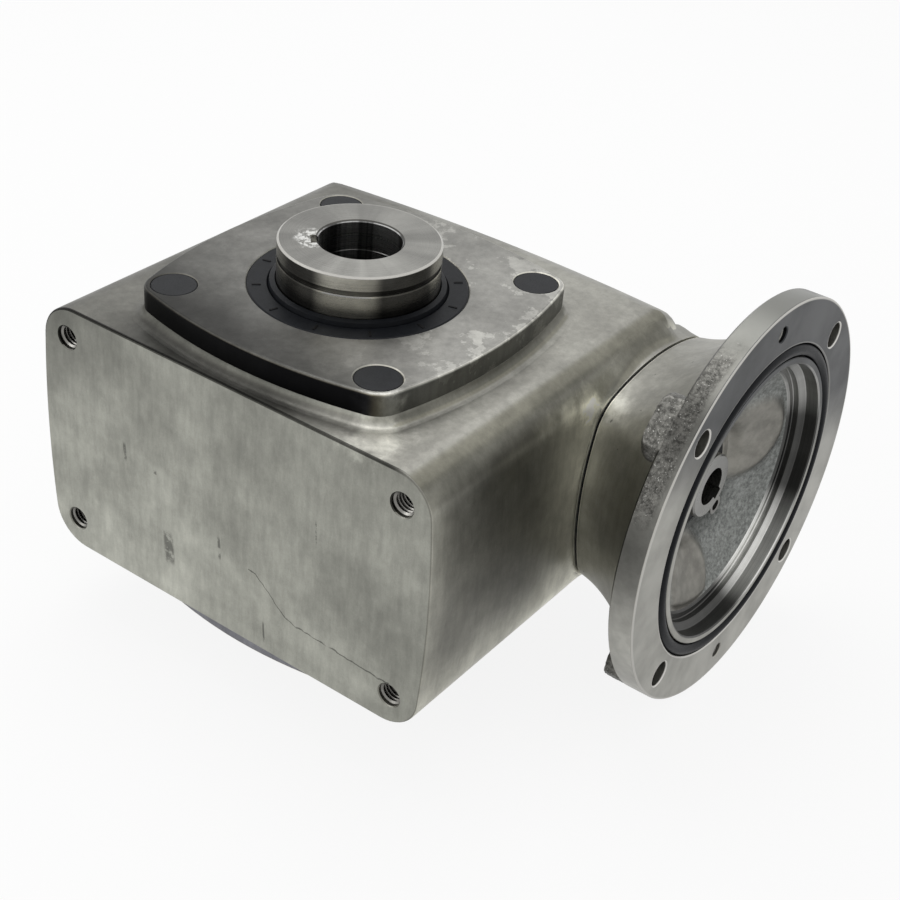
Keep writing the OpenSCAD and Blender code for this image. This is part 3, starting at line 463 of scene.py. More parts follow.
def hub_finish():
    """Turned output shaft: painted reflection bands round its side, rays on its face, painted light and
    shade on its edges, groove and bore, and a pale stain at the keyway.
    """
    finish = Finish("turned_shaft", metallic=1.0)
    x, y, z = finish.parts()
    height, r = abs(z), (x * x + y * y) ** 0.5
    lines = finish.rings(r, z, 5.0)
    rays = finish.spokes((0, 0, 0), (1, 1, 0), seed=3)
    cloud = finish.noise(10, detail=5, rough=0.6, seed=2)
    # Painted reflection bands on the dark side
    side = (0.082, 0.08, 0.074)
    band = finish.toward((0.5, -0.866, 0), 0.9, 0.99)
    second = finish.toward((-0.62, -0.78, 0), 0.93, 0.99) * 0.3 \
        + finish.toward((0.95, 0.3, 0), 0.96, 1.0) * 0.6
    side = finish.mix(band + second, side, (0.68, 0.66, 0.58))
    # Painted shade towards the side's foot
    foot = height.between(70.0, 76.0, 0.35, 1.0)
    side = finish.shade(side, foot * cloud.between(0.3, 0.7, 0.8, 1.2))
    streaks = rays.between(0.3, 0.7, 0.78, 1.18) * cloud.between(0.3, 0.7, 0.9, 1.08)
    top = finish.shade((0.26, 0.257, 0.24), streaks)
    # Painted light: the top face is lighter towards its front
    front = ((x * 0.5 - y * 0.87) / r).between(0.4, 1.0, 0.84, 1.2)
    top = finish.shade(top, front * ((x * 0.55 + y * 0.83) / r).between(-1.0, 1.0, 0.9, 1.06))
    stain = finish.noise(2.2, detail=5, rough=0.7, seed=5)
    pale = finish.near((-14.6, -11.6, HUB_TOP), 7.5, core=0.5) \
        + finish.near((-11.0, -14.6, HUB_TOP), 6.0, core=0.5)
    pale = pale * stain.between(0.47, 0.56)
    top = finish.mix(pale, top, (0.62, 0.62, 0.6))
    flat = abs(finish.facing(2)).between(0.85, 0.97)
    tone = finish.mix(flat, side, top)
    # Painted highlight on the top edge
    tone = finish.mix(height.within(HUB_TOP - 0.2, 0.6) * (r > 30.2), tone, EDGE_HIGHLIGHT)
    # Painted shade in the groove and a painted highlight just below it
    groove = height.within(79.2, 1.3) * (r < 33.0)
    tone = finish.shade(tone, (1 - groove * 0.75) * (1 + height.within(77.9, 0.5) * (1 - flat) * 1.2))
    # The bore, with painted reflection streaks
    bore = finish.shade((0.13, 0.13, 0.128), rays.between(0.4, 0.6, 0.6, 3.6))
    tone = finish.mix((r < 16.2), tone, bore)
    finish.set("Base Color", finish.shade(tone, lines.between(0.3, 0.7, 0.92, 1.07)))
    finish.set("Metallic", 1 - pale * 0.7)
    finish.set("Roughness", lines.between(0.3, 0.7, 0.24, 0.36) + pale * 0.3)
    finish.relief(lines, 0.004)
    return finish.material


def simple(name, colour, metallic, roughness, grain, depth, shine=None):
    """Plain finish with fine grain, small tone changes and a little relief."""
    spread = 0.08
    finish = Finish(name, metallic=metallic)
    cloud = finish.noise(grain * 8, detail=4)
    fine = finish.noise(grain, detail=3, seed=3)
    dark = tuple(c * (1 - 2.5 * spread) for c in colour)
    light = tuple(min(1, c * (1 + 1.5 * spread)) for c in colour)
    finish.set("Base Color", finish.mix(cloud.between(0.3, 0.7), dark, light))
    finish.set("Roughness", fine.between(0.25, 0.75, roughness - spread, roughness + spread))
    finish.relief(fine, depth)
    if shine is not None:
        finish.set("Specular IOR Level", shine)
    return finish.material


# Soft glints: spot, radius and how much brighter
CAST_GLINTS = [((61.0, -63.0, 57.0), 15.0, 1.2), ((91.0, 23.5, 42.0), 9.0, 1.0),
               ((99.0, 31.0, 42.0), 8.0, 0.6), ((91.0, 10.0, 43.5), 8.0, 0.6),
               ((90.0, -4.0, 45.6), 8.0, 0.4)]


def cover_shade_and_stains(finish):
    """Strength for the covers: painted shade darkens the upper one to its front, with stains and painted
    highlights on its rounded edge and its screw wells' mouths; painted light brightens the lower one's
    walls.
    """
    x, y, z = finish.parts()
    stain = finish.noise(16, detail=6, rough=0.68, seed=61)
    lower = z < 0.0
    # Painted shade towards the upper cover's front
    strength = (x + y * 0.45).between(-85.0, 70.0, 0.5, 0.95) \
        * (y + x * 0.12).between(-64.0, -22.0, 0.27, 1.0)
    strength = strength * (1 - lower) + lower
    strength = strength * (1 + stain.between(0.53, 0.56) * (x + y).between(-20.0, 60.0, 0.1, 0.5))
    # Painted highlights on the rounded upper edge and the mouths of the screw wells
    edge = finish.facing(2).between(0.35, 0.6) * finish.facing(2).between(0.8, 0.95, 1.0, 0.0)
    u, v = (abs(value) - COVER_SCREW for value in (x, y))
    mouth = ((u * u + v * v) ** 0.5).within(8.95, 0.35)
    strength = strength * (1 + edge * 1.3 + mouth * (x - y).between(-40.0, 60.0, 0.2, 0.9))
    # Painted light on the lower cover's walls
    return strength * (1 + lower * finish.facing(1).between(-0.5, -0.1, 1.0, 0.0) * 9.0)


# The top, base, end and other tones are painted light and shade for each way a surface faces; the cover's
# near-black base tone is painted shade and its glint a painted highlight
finishes = {
    "cast": cast_finish("blasted_stainless", top=(0.27, 0.266, 0.24), base=(0.34, 0.342, 0.303),
                        end=(0.215, 0.212, 0.185), other=(0.20, 0.198, 0.172), glints=CAST_GLINTS,
                        marks=base_marks_and_shade, rounding_shade=0.75),
    "neck": cast_finish("neck_stainless", top=(0.27, 0.266, 0.24), base=(0.28, 0.275, 0.245),
                        end=(0.26, 0.255, 0.23), other=(0.24, 0.235, 0.205), seed=15,
                        glints=CAST_GLINTS[1:], marks=neck_specks_and_highlight, skin=bolt_pockets),
    "cover": cast_finish("cover_stainless", top=(0.25, 0.247, 0.23), base=(0.022, 0.022, 0.024),
                         end=(0.15, 0.15, 0.135), other=(0.10, 0.09, 0.065), seed=11,
                         glints=[((57.0, -57.0, 62.0), 12.0, 2.2)], marks=cover_shade_and_stains),
    "flange": flange_finish(),
    "raw": raw_finish(),
    "turned": hub_finish(),
    "worm": worm_finish(),
    "thread": simple("cut_thread", (0.22, 0.215, 0.2), 1.0, 0.3, 0.5, 0.003),
    "rubber": simple("black_rubber", (0.008, 0.009, 0.011), 0.0, 0.4, 0.4, 0.01, shine=0.1),
    "seal_mark": simple("seal_mark_rubber", (0.004, 0.004, 0.004), 0.0, 0.6, 0.4, 0.01, shine=0.1),
    "plug": simple("plug_black", (0.014, 0.015, 0.017), 0.0, 0.4, 0.6, 0.01, shine=0.12),
    "bronze": simple("wheel_bronze", (0.60, 0.36, 0.14), 1.0, 0.32, 0.4, 0.01),
    "race": simple("ground_steel", (0.60, 0.61, 0.63), 1.0, 0.18, 0.3, 0.002),
    "ball": simple("polished_steel", (0.68, 0.69, 0.71), 1.0, 0.1, 0.3, 0.001),
    "brass": simple("cage_brass", (0.62, 0.42, 0.18), 1.0, 0.3, 0.4, 0.006),
    "dark": simple("black_oxide_steel", (0.10, 0.10, 0.11), 1.0, 0.36, 0.3, 0.004),
}

FINISH_OF_SLOT = {
    "cast_stainless": "cast", "cover_stainless": "cover", "shaft_stainless": "turned",
    "black_rubber": "rubber", "plug_black": "plug", "wheel_bronze": "bronze",
    "race_steel": "race", "ball_steel": "ball", "cage_brass": "brass", "dark_steel": "dark",
}
for row in frame["record"]["subparts"]:
    data = nodes[row["node"]].data
    data.materials.clear()
    kind = "worm" if row["node"] == "worm_shaft" else FINISH_OF_SLOT[row["material_slot"]]
    data.materials.append(finishes[kind])


# Shapes

SIDE_STEPS, CORNER_STEPS = 16, 10


def outline(half, bow, r):
    """Points round a rectangle with bowed sides and round corners, always the same number."""
    both = (math.cos, math.sin)
    corner = [h - b - r for h, b in zip(half, bow)]
    big = [(corner[1 - k] ** 2 + (bow[k] + r) ** 2 - r * r) / (2 * bow[k]) for k in (0, 1)]
    spread = [math.atan2(corner[1 - k], big[k] - bow[k] - r) for k in (0, 1)]
    points = []
    for side in range(4):
        k, quarter = side % 2, side * math.pi / 2
        sign = [math.copysign(1, f(quarter + 0.7)) for f in both]
        for i in range(1, SIDE_STEPS):
            angle = quarter - spread[k] + 2 * spread[k] * i / SIDE_STEPS
            points.append([big[k] * f(angle) - (big[k] - half[k]) * f(quarter) for f in both])
        for i in range(CORNER_STEPS + 1):
            angle = quarter + spread[k] + (math.pi / 2 - sum(spread)) * i / CORNER_STEPS
            points.append([s * c + r * f(angle) for s, c, f in zip(sign, corner, both)])
    return points


def square_outline(half, corner, r):
    """Bowed square whose corner arcs have their centres at corner."""
    bow = half - corner - r
    return outline((half, half), (bow, bow), r)


def cover_outline(spread):
    """A cover's outline, spread outwards by some millimetres."""
    return square_outline(66 + spread, COVER_SCREW, 11 + spread)


def neck_outline(spread):
    """The neck's outline, spread outwards by some millimetres."""
    return square_outline(46.7 + spread, 26, 16.6 + spread)


def circle_outline(r):
    """As many points as the other outlines have, in a circle."""
    count = len(outline((2, 2), (0.1, 0.1), 1))
    turn = [2 * math.pi * (i - 7) / count for i in range(count)]
    return [(r * math.cos(a), r * math.sin(a)) for a in turn]


def loft(rings, close_ends=True):
    """Skin over rings of points that all have the same number of points."""
    shape = bmesh.new()
    columns, rows = len(rings[0]), len(rings) - 1
    bmesh.ops.create_grid(shape, x_segments=columns, y_segments=rows, size=1)
    for vert in shape.verts:
        column, row = round((vert.co.x + 1) / 2 * columns), round((vert.co.y + 1) / 2 * rows)
        vert.co = rings[row][column % columns]
    bmesh.ops.remove_doubles(shape, verts=shape.verts, dist=1e-5)
    if close_ends:
        bmesh.ops.holes_fill(shape, edges=[e for e in shape.edges if e.is_boundary], sides=0)
    return shape


def turned(points, closed=True, steps=128):
    """Turns a profile of (radius, height) points round the output axis."""
    shape = bmesh.new()
    verts = [shape.verts.new((r, 0, z)) for r, z in points]
    pairs = list(zip(verts, verts[1:])) + ([(verts[-1], verts[0])] if closed else [])
    edges = [shape.edges.new(pair) for pair in pairs]
    bmesh.ops.spin(shape, geom=verts + edges, cent=(0, 0, 0), axis=(0, 0, 1), angle=2 * math.pi,
                   steps=steps, use_merge=True)
    bmesh.ops.remove_doubles(shape, verts=shape.verts, dist=1e-5)
    return shape


def along_worm(shape):
    """Lays a shape made round the output axis along the worm."""
    turn = Matrix(((0, 0, 1, 0), (0, 1, 0, WORM_Y), (-1, 0, 0, 0), (0, 0, 0, 1)))
    bmesh.ops.transform(shape, matrix=turn, verts=shape.verts)
    return shape


def moved(shape, vec):
    """Shifts a shape and gives it back."""
    bmesh.ops.translate(shape, verts=shape.verts, vec=vec)
    return shape


def together(shapes):
    """One shape from several."""
    made = bmesh.new()
    for shape in shapes:
        mesh = bpy.data.meshes.new("part")
        shape.to_mesh(mesh)
        shape.free()
        made.from_mesh(mesh)
        bpy.data.meshes.remove(mesh)
    return made


def roughen(shape, depth, size):
    """Moves each point of a raw cast piece a little in or out."""
    shape.normal_update()
    for vert in shape.verts:
        vert.co += vert.normal * depth * noise.fractal(vert.co / size, 0.9, 2.0, 3)
    return shape


def soften(shape, width):
    """Rounds every edge that bends more than 30 degrees."""
    shape.normal_update()
    sharp = [e for e in shape.edges
             if len(e.link_faces) == 2 and e.calc_face_angle(0) > math.radians(30)]
    bmesh.ops.bevel(shape, geom=sharp, offset=width, offset_type="OFFSET", segments=2, profile=0.5,
                    affect="EDGES", material=-1, clamp_overlap=True)
    return shape


def shown(name, shape):
    """Object in metres from a shape in millimetres."""
    bmesh.ops.recalc_face_normals(shape, faces=shape.faces)
    bmesh.ops.scale(shape, vec=(MM, MM, MM), verts=shape.verts)
    for face in shape.faces:
        face.smooth = True
    mesh = bpy.data.meshes.new(name)
    shape.to_mesh(mesh)
    shape.free()
    piece = bpy.data.objects.new(name, mesh)
    bpy.context.scene.collection.objects.link(piece)
    return piece


def piece(name, shape, finish, body="frame", slot=None, cutters=(), hard=38, replaces=()):
    """Finished piece on a body: cutters are taken away and edges past hard degrees stay crisp."""
    made = shown(name, shape)
    for number, cutter in enumerate(cutters):
        tool = shown(f"{name}_tool_{number}", cutter)
        cut = made.modifiers.new("cut", "BOOLEAN")
        cut.object, cut.operation, cut.solver = tool, "DIFFERENCE", "EXACT"
        bpy.context.view_layer.update()
        whole = made.evaluated_get(bpy.context.evaluated_depsgraph_get())
        result = bpy.data.meshes.new_from_object(whole)
        made.modifiers.clear()
        made.data = result
        bpy.data.objects.remove(tool)
    final = bmesh.new()
    final.from_mesh(made.data)
    for edge in final.edges:
        edge.smooth = edge.calc_face_angle(0) < math.radians(hard)
    for face in final.faces:
        face.smooth = True
    final.to_mesh(made.data)
    final.free()
    made.data.name = name
    made.data.materials.clear()
    made.data.materials.append(finish)
    made.modifiers.new("flat_faces", "WEIGHTED_NORMAL").keep_sharp = True
    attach(made, body)
    if replaces:
        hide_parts(*replaces)
    return made


def cylinder(r, low, high, steps=64, chamfer=0.0):
    """Round cutter along the output axis; its upper end widens by chamfer."""
    points = [(0, low), (r, low), (r, high), (0, high)]
    if chamfer:
        wide, end = r + chamfer, high + 2
        points = [(0, low), (r, low), (r, high - chamfer), (wide, high), (wide, end), (0, end)]
    return turned(points, closed=False, steps=steps)


THREAD_STEPS = 24


def thread(outer, inner, pitch, turns):
    """Ridge of a screw thread inside a hole along the output axis, downwards from the height 0."""
    shape = bmesh.new()
    profile = ((outer, -0.9), (inner, -0.55), (inner, -0.4), (outer, -0.05))
    verts = [shape.verts.new((r, 0, z * pitch)) for r, z in profile]
    edges = [shape.edges.new(pair) for pair in zip(verts, verts[1:] + verts[:1])]
    bmesh.ops.spin(shape, geom=verts + edges, cent=(0, 0, 0), axis=(0, 0, 1),
                   dvec=(0, 0, -pitch / THREAD_STEPS), angle=2 * math.pi * turns,
                   steps=turns * THREAD_STEPS)
    bmesh.ops.holes_fill(shape, edges=[e for e in shape.edges if e.is_boundary], sides=0)
    return shape


# Housing

BASE_HOLES = [(sx * 80.25, sz * 42.1) for sx in (-1, 1) for sz in (-1, 1)]

# Where the rounding of the back starts, along X and along Z
REACH = (HALF_LENGTH + 0.4 - END_R, HALF_HEIGHT + 0.4 - BACK_R)


def clamped(t):
    return min(1, max(0, t))


def smooth(t):
    """Soft step from 0 to 1."""
    t = clamped(t)
    return t * t * (3 - 2 * t)


def block_outline(inset=0.0):
    """The housing's outline along X and Z."""
    return outline((HALF_LENGTH - inset, HALF_HEIGHT - inset), (END_BOW, 0.01), WALL_R - inset)


def back_point(u, v, turn):
    """Point of the rounded back; turn goes from 0 at the wall to a quarter turn at the flat back."""
    beyond = [max(0, abs(c) - reach) / r for c, reach, r in zip((u, v), REACH, (END_R, BACK_R))]
    inner = [math.copysign(min(abs(c), reach), c) for c, reach in zip((u, v), REACH)]
    left = [b * math.cos(turn) for b in beyond]
    x, z = (i + math.copysign(b * r, c) for i, b, r, c in zip(inner, left, (END_R, BACK_R), (u, v)))
    bow = BACK_BULGE * min(1, abs(x) / REACH[0]) ** 2
    fall = BACK_R * (1 - math.sqrt(max(0, 1 - left[0] ** 2 - left[1] ** 2)))
    return x, BACK_Y - bow - fall, z


def housing_shape():
    """Rounded base edge, straight walls, rounded back and its bulged flat."""
    rings = []
    edge_r, wall_end = 0.9, 74
    for i in range(5):
        angle = math.pi / 8 * i
        inset = edge_r * (1 - math.sin(angle))
        y = BASE_Y + edge_r * (1 - math.cos(angle))
        rings.append([(u, y, v) for u, v in block_outline(inset)])
    whole = block_outline()
    for i in range(1, 17):
        y = BASE_Y + edge_r + (wall_end - BASE_Y) * i / 16
        rings.append([(u, y, v) for u, v in whole])
    rings += [[back_point(u, v, math.pi / 2 * (i / 18) ** 0.8) for u, v in whole] for i in range(19)]
    flat = rings[-1]
    for i in range(1, 10):
        ring = [(x * (1 - i / 10), z * (1 - i / 10)) for x, y, z in flat]
        rings.append([(x, BACK_Y - BACK_BULGE * (x / REACH[0]) ** 2, z) for x, z in ring])
    return loft(rings)


def base_hole(x, z):
    """Cutter for a tapped hole in the base, with a countersunk mouth."""
    shape = cylinder(BASE_HOLE_R, -BASE_HOLE_DEPTH, 0, chamfer=HOLE_CHAMFER)
    bmesh.ops.rotate(shape, verts=shape.verts, matrix=Matrix.Rotation(math.pi / 2, 3, "X"))
    return moved(shape, (x, BASE_Y, z))


def add_housing():
    """Casting, hollow as in the CAD, and the threads of its base holes."""
    chamber = cylinder(57, -70, 70)
    tunnel = along_worm(cylinder(27, -80, 110))
    rear_seat = along_worm(turned([(0, -68), (31, -68), (31, -90), (32.4, -90), (32.4, -92), (31, -92),
                                   (31, -93.6), (31.6, -110), (0, -110)], closed=False, steps=96))
    oil_holes = []
    for x in (-45, 45):
        hole = cylinder(6.6, 66, 125)
        bmesh.ops.rotate(hole, verts=hole.verts, matrix=Matrix.Rotation(-math.pi / 2, 3, "X"))
        oil_holes.append(moved(hole, (x, 0, 0)))
    base_holes = [base_hole(x, z) for x, z in BASE_HOLES]
    piece("housing_casting", housing_shape(), finishes["cast"], slot="cast_stainless",
          replaces=["housing"], cutters=[chamber, tunnel, rear_seat] + oil_holes + base_holes)
    ridges = []
    for x, z in BASE_HOLES:
        ridge = moved(thread(4.9, 3.95, 1.5875, 11), (0, 0, -0.5))
        bmesh.ops.rotate(ridge, verts=ridge.verts, matrix=Matrix.Rotation(math.pi / 2, 3, "X"))
        ridges.append(moved(ridge, (x, BASE_Y, z)))
    piece("base_threads", together(ridges), finishes["thread"], slot="cast_stainless", hard=25)


def seat_shape():
    """Cast fillet that runs from the housing's top up to a cover's rim."""
    steps = [(5.2, 55.02), (3.9, 55.12), (2.8, 55.4), (1.8, 55.95), (1.0, 56.8), (0.45, 57.7),
             (0.15, SEAT_Z), (-2.0, SEAT_Z), (-2.0, 54.0), (4.6, 54.0)]
    rings = [[(u, v, z) for u, v in cover_outline(s)] for s, z in steps]
    return loft(rings + rings[:1], close_ends=False)


# The pad's rings from the housing to the neck. The fillet gives spread and rise from the end face;
# the ramp over the back, and the corner between the two, give spread and place along X.
PAD_FILLET = ((6.5, -0.03), (5.0, 0.06), (3.7, 0.25), (2.5, 0.6),
              (1.5, 1.1), (0.7, 1.9), (0.2, 2.8), (0.0, 4.0))
PAD_RAMP = ((-8.0, 72.5), (-5.5, 76.8), (-2.8, 81.4), (-0.5, 85.2),
            (0.9, 87.8), (1.3, 89.6), (0.7, 92.2), (0.0, 94.9))
PAD_CORNER = ((-4.8, 74.0), (-2.6, 78.0), (-0.5, 81.0), (1.1, 83.4),
              (1.6, 85.6), (1.25, 88.0), (0.5, 91.1), (0.0, 94.9))


def end_x(y, z):
    """Where the housing's end face lies beside the neck."""
    straight, back_start = 39, 81
    u = clamped((abs(z) - straight) / WALL_R)
    v = clamped((y - back_start) / BACK_R)
    bowed = END_BOW * min(1, (z / straight) ** 2)
    return HALF_LENGTH - bowed - WALL_R * (1 - math.sqrt(1 - u * u)) - END_R * (1 - math.sqrt(1 - v * v))


def pad_shape():
    """Pad under the neck: a soft fillet on the housing's end, and a ramp over its rounded back."""
    whole = neck_outline(0.0)
    rings = []
    for (spread, rise), (ramp_spread, ramp_x), (corner_spread, corner_x) \
            in zip(PAD_FILLET, PAD_RAMP, PAD_CORNER):
        wide, flat, round_corner = (neck_outline(s) for s in (spread, ramp_spread, corner_spread))
        ring = []
        for (u, v), p, q, (u0, v0) in zip(wide, flat, round_corner, whole):
            back, corner = smooth((WORM_Y + u0 - 84) / 16), smooth((abs(v0) - 18) / 16)
            u2, v2, back_x = (a + (b - a) * corner for a, b in zip((*p, ramp_x), (*q, corner_x)))
            y, z = WORM_Y + u + (u2 - u) * back, v + (v2 - v) * back
            x = min(94.9, max(end_x(WORM_Y + u, v), 80) + rise)
            ring.append((x + (back_x - x) * back, y, z))
        rings.append(ring)
    for x, half, r in ((95.1, 46.7, 16.6), (95.1, 44, 14), (74.0, 36, 8)):
        rings.append([(x, WORM_Y + u, v) for u, v in square_outline(half, half - r - 4.1, r)])
    return loft(rings + rings[:1], close_ends=False)


def add_seats():
    """Cast fillets under the covers and the neck."""
    for side, name in ((1, "top"), (-1, "bottom")):
        shape = seat_shape()
        bmesh.ops.scale(shape, vec=(1, 1, side), verts=shape.verts)
        piece("cover_seat_" + name, shape, finishes["cast"], slot="cast_stainless")
    piece("neck_pad", pad_shape(), finishes["cast"], slot="cast_stainless")


# Covers, seals and shaft

def cover_shape():
    """Cover plate with a rounded upper edge."""
    edge_r = 1.3
    steps = [(0, SEAT_Z), (0, COVER_TOP - edge_r)]
    for i in range(1, 6):
        angle = math.pi / 2 * i / 5
        steps.append((-edge_r * (1 - math.cos(angle)), COVER_TOP - edge_r * (1 - math.sin(angle))))
    return loft([[(u, v, z) for u, v in cover_outline(s)] for s, z in steps])


def add_covers():
    """Both cover plates, each with its seal bore and four screw wells."""
    for side, name in ((1, "top"), (-1, "bottom")):
        shapes = [cover_shape(), cylinder(42.1, 50, COVER_TOP, steps=128, chamfer=HOLE_CHAMFER)]
        for sx, sy in ((-1, -1), (-1, 1), (1, -1), (1, 1)):
            well = cylinder(8.8, COVER_TOP - 5, COVER_TOP, chamfer=0.35)
            shapes.append(moved(well, (sx * COVER_SCREW, sy * COVER_SCREW, 0)))
        for shape in shapes:
            bmesh.ops.scale(shape, vec=(1, 1, side), verts=shape.verts)
            bmesh.ops.recalc_face_normals(shape, faces=shape.faces)
        piece("cover_plate_" + name, shapes[0], finishes["cover"], slot="cover_stainless",
              cutters=shapes[1:], replaces=["cover_" + name])


def add_seal_marks():
    """Twelve short moulded ticks on the face of each oil seal."""
    for side, name in ((1, "top"), (-1, "bottom")):
        marks = bmesh.new()
        for i in range(12):
            made = bmesh.ops.create_cube(marks, size=1)["verts"]
            bmesh.ops.scale(marks, vec=(3.4, 0.9, 0.34), verts=made)
            bmesh.ops.translate(marks, vec=(38.3, 0, side * (COVER_TOP - 0.02)), verts=made)
            bmesh.ops.rotate(marks, verts=made, cent=(0, 0, 0),
                             matrix=Matrix.Rotation(math.radians(15.5 + 30 * i), 3, "Z"))
        soften(marks, 0.12)
        piece("seal_marks_" + name, marks, finishes["seal_mark"], slot="black_rubber")


# Motor adapter

NECK_X, NECK_END = 96.0, 133.6


def neck_spread(x):
    """How far the neck flares out at a place along X."""
    s = (x - NECK_X) / 37.3
    return 5 * s + 18 * s * s


def neck_shape():
    """Neck with a soft first edge and a flare, hollow inside."""
    steps = [(NECK_X, -0.5), (NECK_X + 0.15, -0.15), (NECK_X + 0.5, 0.0)]
    for i in range(1, 31):
        x = 96.5 + (NECK_END - 96.5) * i / 30
        steps.append((x, neck_spread(x)))
    rings = [[(x, WORM_Y + u, v) for u, v in neck_outline(s)] for x, s in steps]
    for r, x in ((58, NECK_END), (44, 112.0), (21, 110.0), (21, NECK_X)):
        rings.append([(x, WORM_Y + u, v) for u, v in circle_outline(r)])
    return loft(rings + rings[:1], close_ends=False)


# Profile of the flange as (radius, place along X): back and rim, groove, register, and bell floor
RIM = [(58, FLANGE_BACK), (83.2, FLANGE_BACK), (FLANGE_R, 134.2), (FLANGE_R, 143.5), (83.74, FLANGE_FACE)]
GROOVE = [(GROOVE_R, FLANGE_FACE), (65.7, 143.6), (65.7, 139.7), (60.1, 139.7), (60.1, 143.6),
          (59.8, FLANGE_FACE)]
REGISTER = [(57.6, FLANGE_FACE), (PILOT_R, 143.4), (PILOT_R, 138.3), (54.55, 136.2), (54.55, 134.0),
            (54.3, 133.7), (52.0, 133.7), (51.75, 133.4)]
BELL_FLOOR = [(BELL_R, 132.8), (46.75, 130.6), (40.0, 127.9), (30.0, 123.6), (25.5, 121.7), (24.0, 121.1)]
BELL_HOLE = [(21.6, 121.1), (21, 120.6), (21, 112.5), (44, 112.5)]


def fine_points(points, step):
    """Points of a profile with more put in between, no further apart than step."""
    fine = points[:1]
    for (r0, x0), (r1, x1) in zip(points, points[1:]):
        count = math.ceil(math.hypot(r1 - r0, x1 - x0) / step)
        fine += [(r0 + (r1 - r0) * i / count, x0 + (x1 - x0) * i / count) for i in range(1, count + 1)]
    return fine


def raise_lobes(shape):
    """Two smooth lobes that stand up from the bell's cast floor."""
    inner, outer, rise = 24.5, 51.0, 3.0
    for vert in shape.verts:
        dy, z = vert.co.y - WORM_Y, vert.co.z
        r = math.hypot(dy, z)
        if inner < r < outer and 121 < vert.co.x < 133:
            height = sum(smooth((reach - math.hypot(dy - cy, z - cz)) / 6.5) for cy, cz, reach in LOBES)
            vert.co.x += rise * height * smooth((r - inner) / 4) * smooth((outer - r) / 4)
    return shape


def boss_shape():
    """Raw boss behind a bolt hole, which ends at the flange's rim."""
    rows = [(r, 126.0) for r in (1.5, 3.5, 5.5, 7.5, 9.5, 11.0)]
    angles = [math.pi / 8 * i for i in range(1, 5)]
    rows += [(11 + 2 * math.sin(a), 128 - 2 * math.cos(a)) for a in angles]
    rows += [(13.0, 128 + 0.75 * i) for i in range(1, 10)]
    rings = []
    for r, height in rows:
        ring = []
        for i in range(96):
            angle = 2 * math.pi * i / 96
            u, v = MOTOR_CIRCLE / 2 + r * math.cos(angle), r * math.sin(angle)
            over = max(1, math.hypot(u, v) / 83.95)
            ring.append((u / over, v / over, height))
        rings.append(ring)
    shape = roughen(loft(rings), 0.22, 1.7)
    for vert in shape.verts:
        over = max(1, math.hypot(vert.co.x, vert.co.y) / 84.12)
        vert.co.x, vert.co.y = vert.co.x / over, vert.co.y / over
    return shape


BOLT_OUT = (MOTOR_CIRCLE / 2, 0, 0)


def at_bolts(make):
    """Four shapes, one at each motor bolt; make gives one of them at BOLT_OUT."""
    shapes = []
    for i in range(4):
        shape = make()
        bmesh.ops.rotate(shape, verts=shape.verts, cent=(0, 0, 0),
                         matrix=Matrix.Rotation(math.radians(45 + 90 * i), 3, "Z"))
        shapes.append(along_worm(shape))
    return shapes


def add_adapter():
    """Flange with its bell, flared neck, raw bosses and jack threads."""
    holes = at_bolts(lambda: moved(cylinder(MOTOR_HOLE_R, 120, FLANGE_FACE, chamfer=HOLE_CHAMFER),
                                   BOLT_OUT))
    spot_faces = at_bolts(lambda: moved(cylinder(10.5, 112, 126), BOLT_OUT))
    cutters = [shape for pair in zip(holes, spot_faces) for shape in pair]
    jack_holes, jack_threads = [], []
    for side in (-1, 1):
        hole = cylinder(3.18, 130, FLANGE_FACE, chamfer=HOLE_CHAMFER)
        jack_holes.append(along_worm(moved(hole, (side * MOTOR_CIRCLE / 2, 0, 0))))
        ridge = thread(3.3, 2.8, 1.27, 8)
        jack_threads.append(along_worm(moved(ridge, (side * MOTOR_CIRCLE / 2, 0, 142.6))))
    profile = RIM + GROOVE + REGISTER + fine_points(BELL_FLOOR, 1.5) + BELL_HOLE
    flange = raise_lobes(along_worm(turned(profile, steps=192)))
    piece("adapter_flange", flange, finishes["flange"], slot="cast_stainless",
          cutters=[c.copy() for c in cutters] + jack_holes, replaces=["adapter"])
    piece("adapter_neck", neck_shape(), finishes["neck"], slot="cast_stainless", cutters=cutters)
    boss_holes = at_bolts(lambda: moved(cylinder(MOTOR_HOLE_R, 120, 140), BOLT_OUT))
    piece("bolt_bosses", together(at_bolts(boss_shape)), finishes["raw"], slot="cast_stainless",
          cutters=boss_holes, hard=60)
    piece("jack_threads", together(jack_threads), finishes["thread"], slot="cast_stainless", hard=25)


add_housing()
add_seats()
add_covers()
add_seal_marks()
add_adapter()


# Floor and light

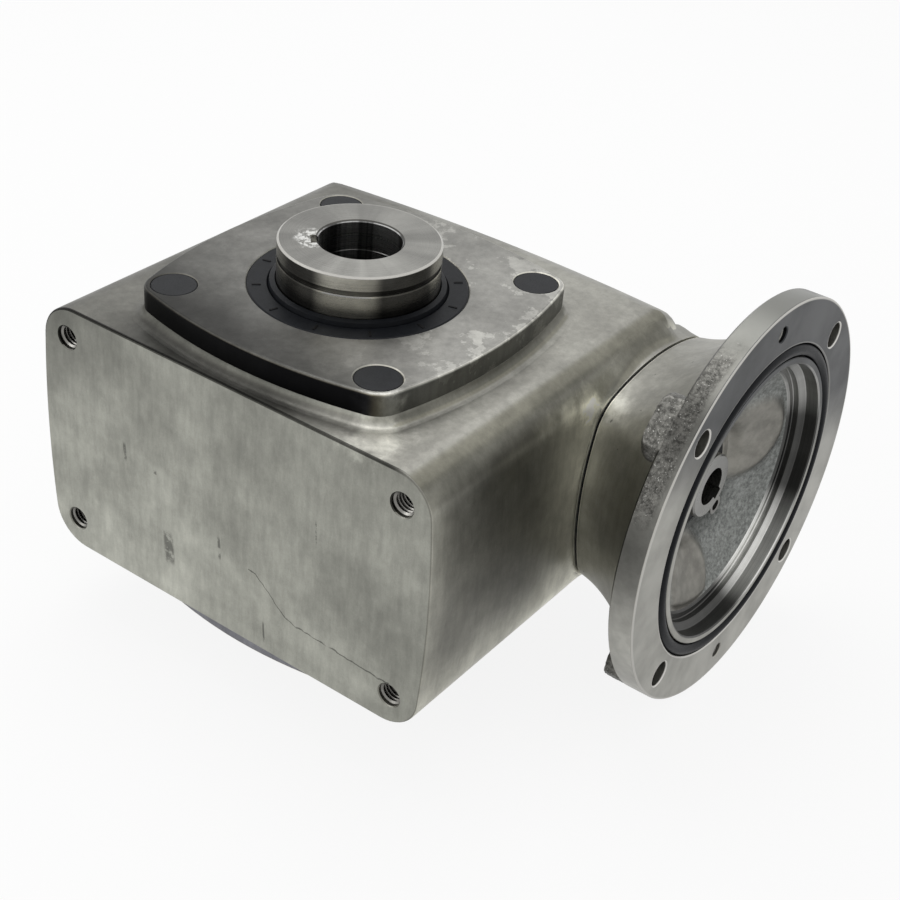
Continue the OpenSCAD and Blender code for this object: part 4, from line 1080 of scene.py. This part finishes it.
def add_floor():
    """Pale matt floor that glows to the camera, so that it nearly meets the white studio."""
    mesh = bpy.data.meshes.new("floor")
    shape = bmesh.new()
    bmesh.ops.create_grid(shape, x_segments=1, y_segments=1, size=6)
    bmesh.ops.translate(shape, verts=shape.verts, vec=(0, 0, cad_box[0].z))
    shape.to_mesh(mesh)
    shape.free()
    floor = bpy.data.objects.new("floor", mesh)
    bpy.context.scene.collection.objects.link(floor)
    finish = Finish("pale_floor", roughness=0.9, colour=(0.8, 0.8, 0.8))
    glow = finish.node("Emission", {"Color": (1, 1, 1, 1), "Strength": 1.0})
    path = finish.tree.nodes.new("ShaderNodeLightPath")
    seen = Value(finish, path.outputs["Is Camera Ray"]) * 0.88
    for kind in ("Is Glossy Ray", "Is Transmission Ray"):
        seen = seen + Value(finish, path.outputs[kind]) * 0.6
    blend = finish.node("MixShader", {0: seen, 1: Value(finish, finish.shader.outputs[0]), 2: glow})
    finish.join(finish.tree.nodes["Material Output"].inputs["Surface"], blend)
    mesh.materials.append(finish.material)


def add_world():
    """Plain studio: white to the camera and in reflections, dimmer as light."""
    world = bpy.data.worlds.new("studio")
    world.use_nodes = True
    bpy.context.scene.world = world
    tree = world.node_tree
    path = tree.nodes.new("ShaderNodeLightPath")
    seen = path.outputs["Is Camera Ray"]
    for kind in ("Is Glossy Ray", "Is Transmission Ray"):
        either = tree.nodes.new("ShaderNodeMath")
        either.operation = "MAXIMUM"
        tree.links.new(seen, either.inputs[0])
        tree.links.new(path.outputs[kind], either.inputs[1])
        seen = either.outputs[0]
    strength = tree.nodes.new("ShaderNodeMapRange")
    tree.links.new(seen, strength.inputs[0])
    strength.inputs[3].default_value = 0.6
    strength.inputs[4].default_value = 1.0
    tree.links.new(strength.outputs[0], tree.nodes["Background"].inputs["Strength"])
    tree.nodes["Background"].inputs["Color"].default_value = (1, 1, 1, 1)


def add_lamp(name, place, target, size, power):
    """Area lamp that shines at a target."""
    data = bpy.data.lights.new(name, "AREA")
    data.shape, data.size, data.size_y = "RECTANGLE", size[0], size[1]
    data.energy = power
    lamp = bpy.data.objects.new(name, data)
    bpy.context.scene.collection.objects.link(lamp)
    lamp.location = place
    lamp.rotation_mode = "QUATERNION"
    lamp.rotation_quaternion = (Vector(target) - Vector(place)).to_track_quat("-Z", "Y")


add_floor()
add_world()
add_lamp("top_light", (-0.3, 0.3, 1.2), (0, 0.03, 0), (0.9, 0.9), 8)
add_lamp("front_light", (-0.7, -1.0, 0.5), (0, 0.03, 0), (0.8, 0.6), 4)
bpy.context.scene.view_settings.view_transform = "Standard"
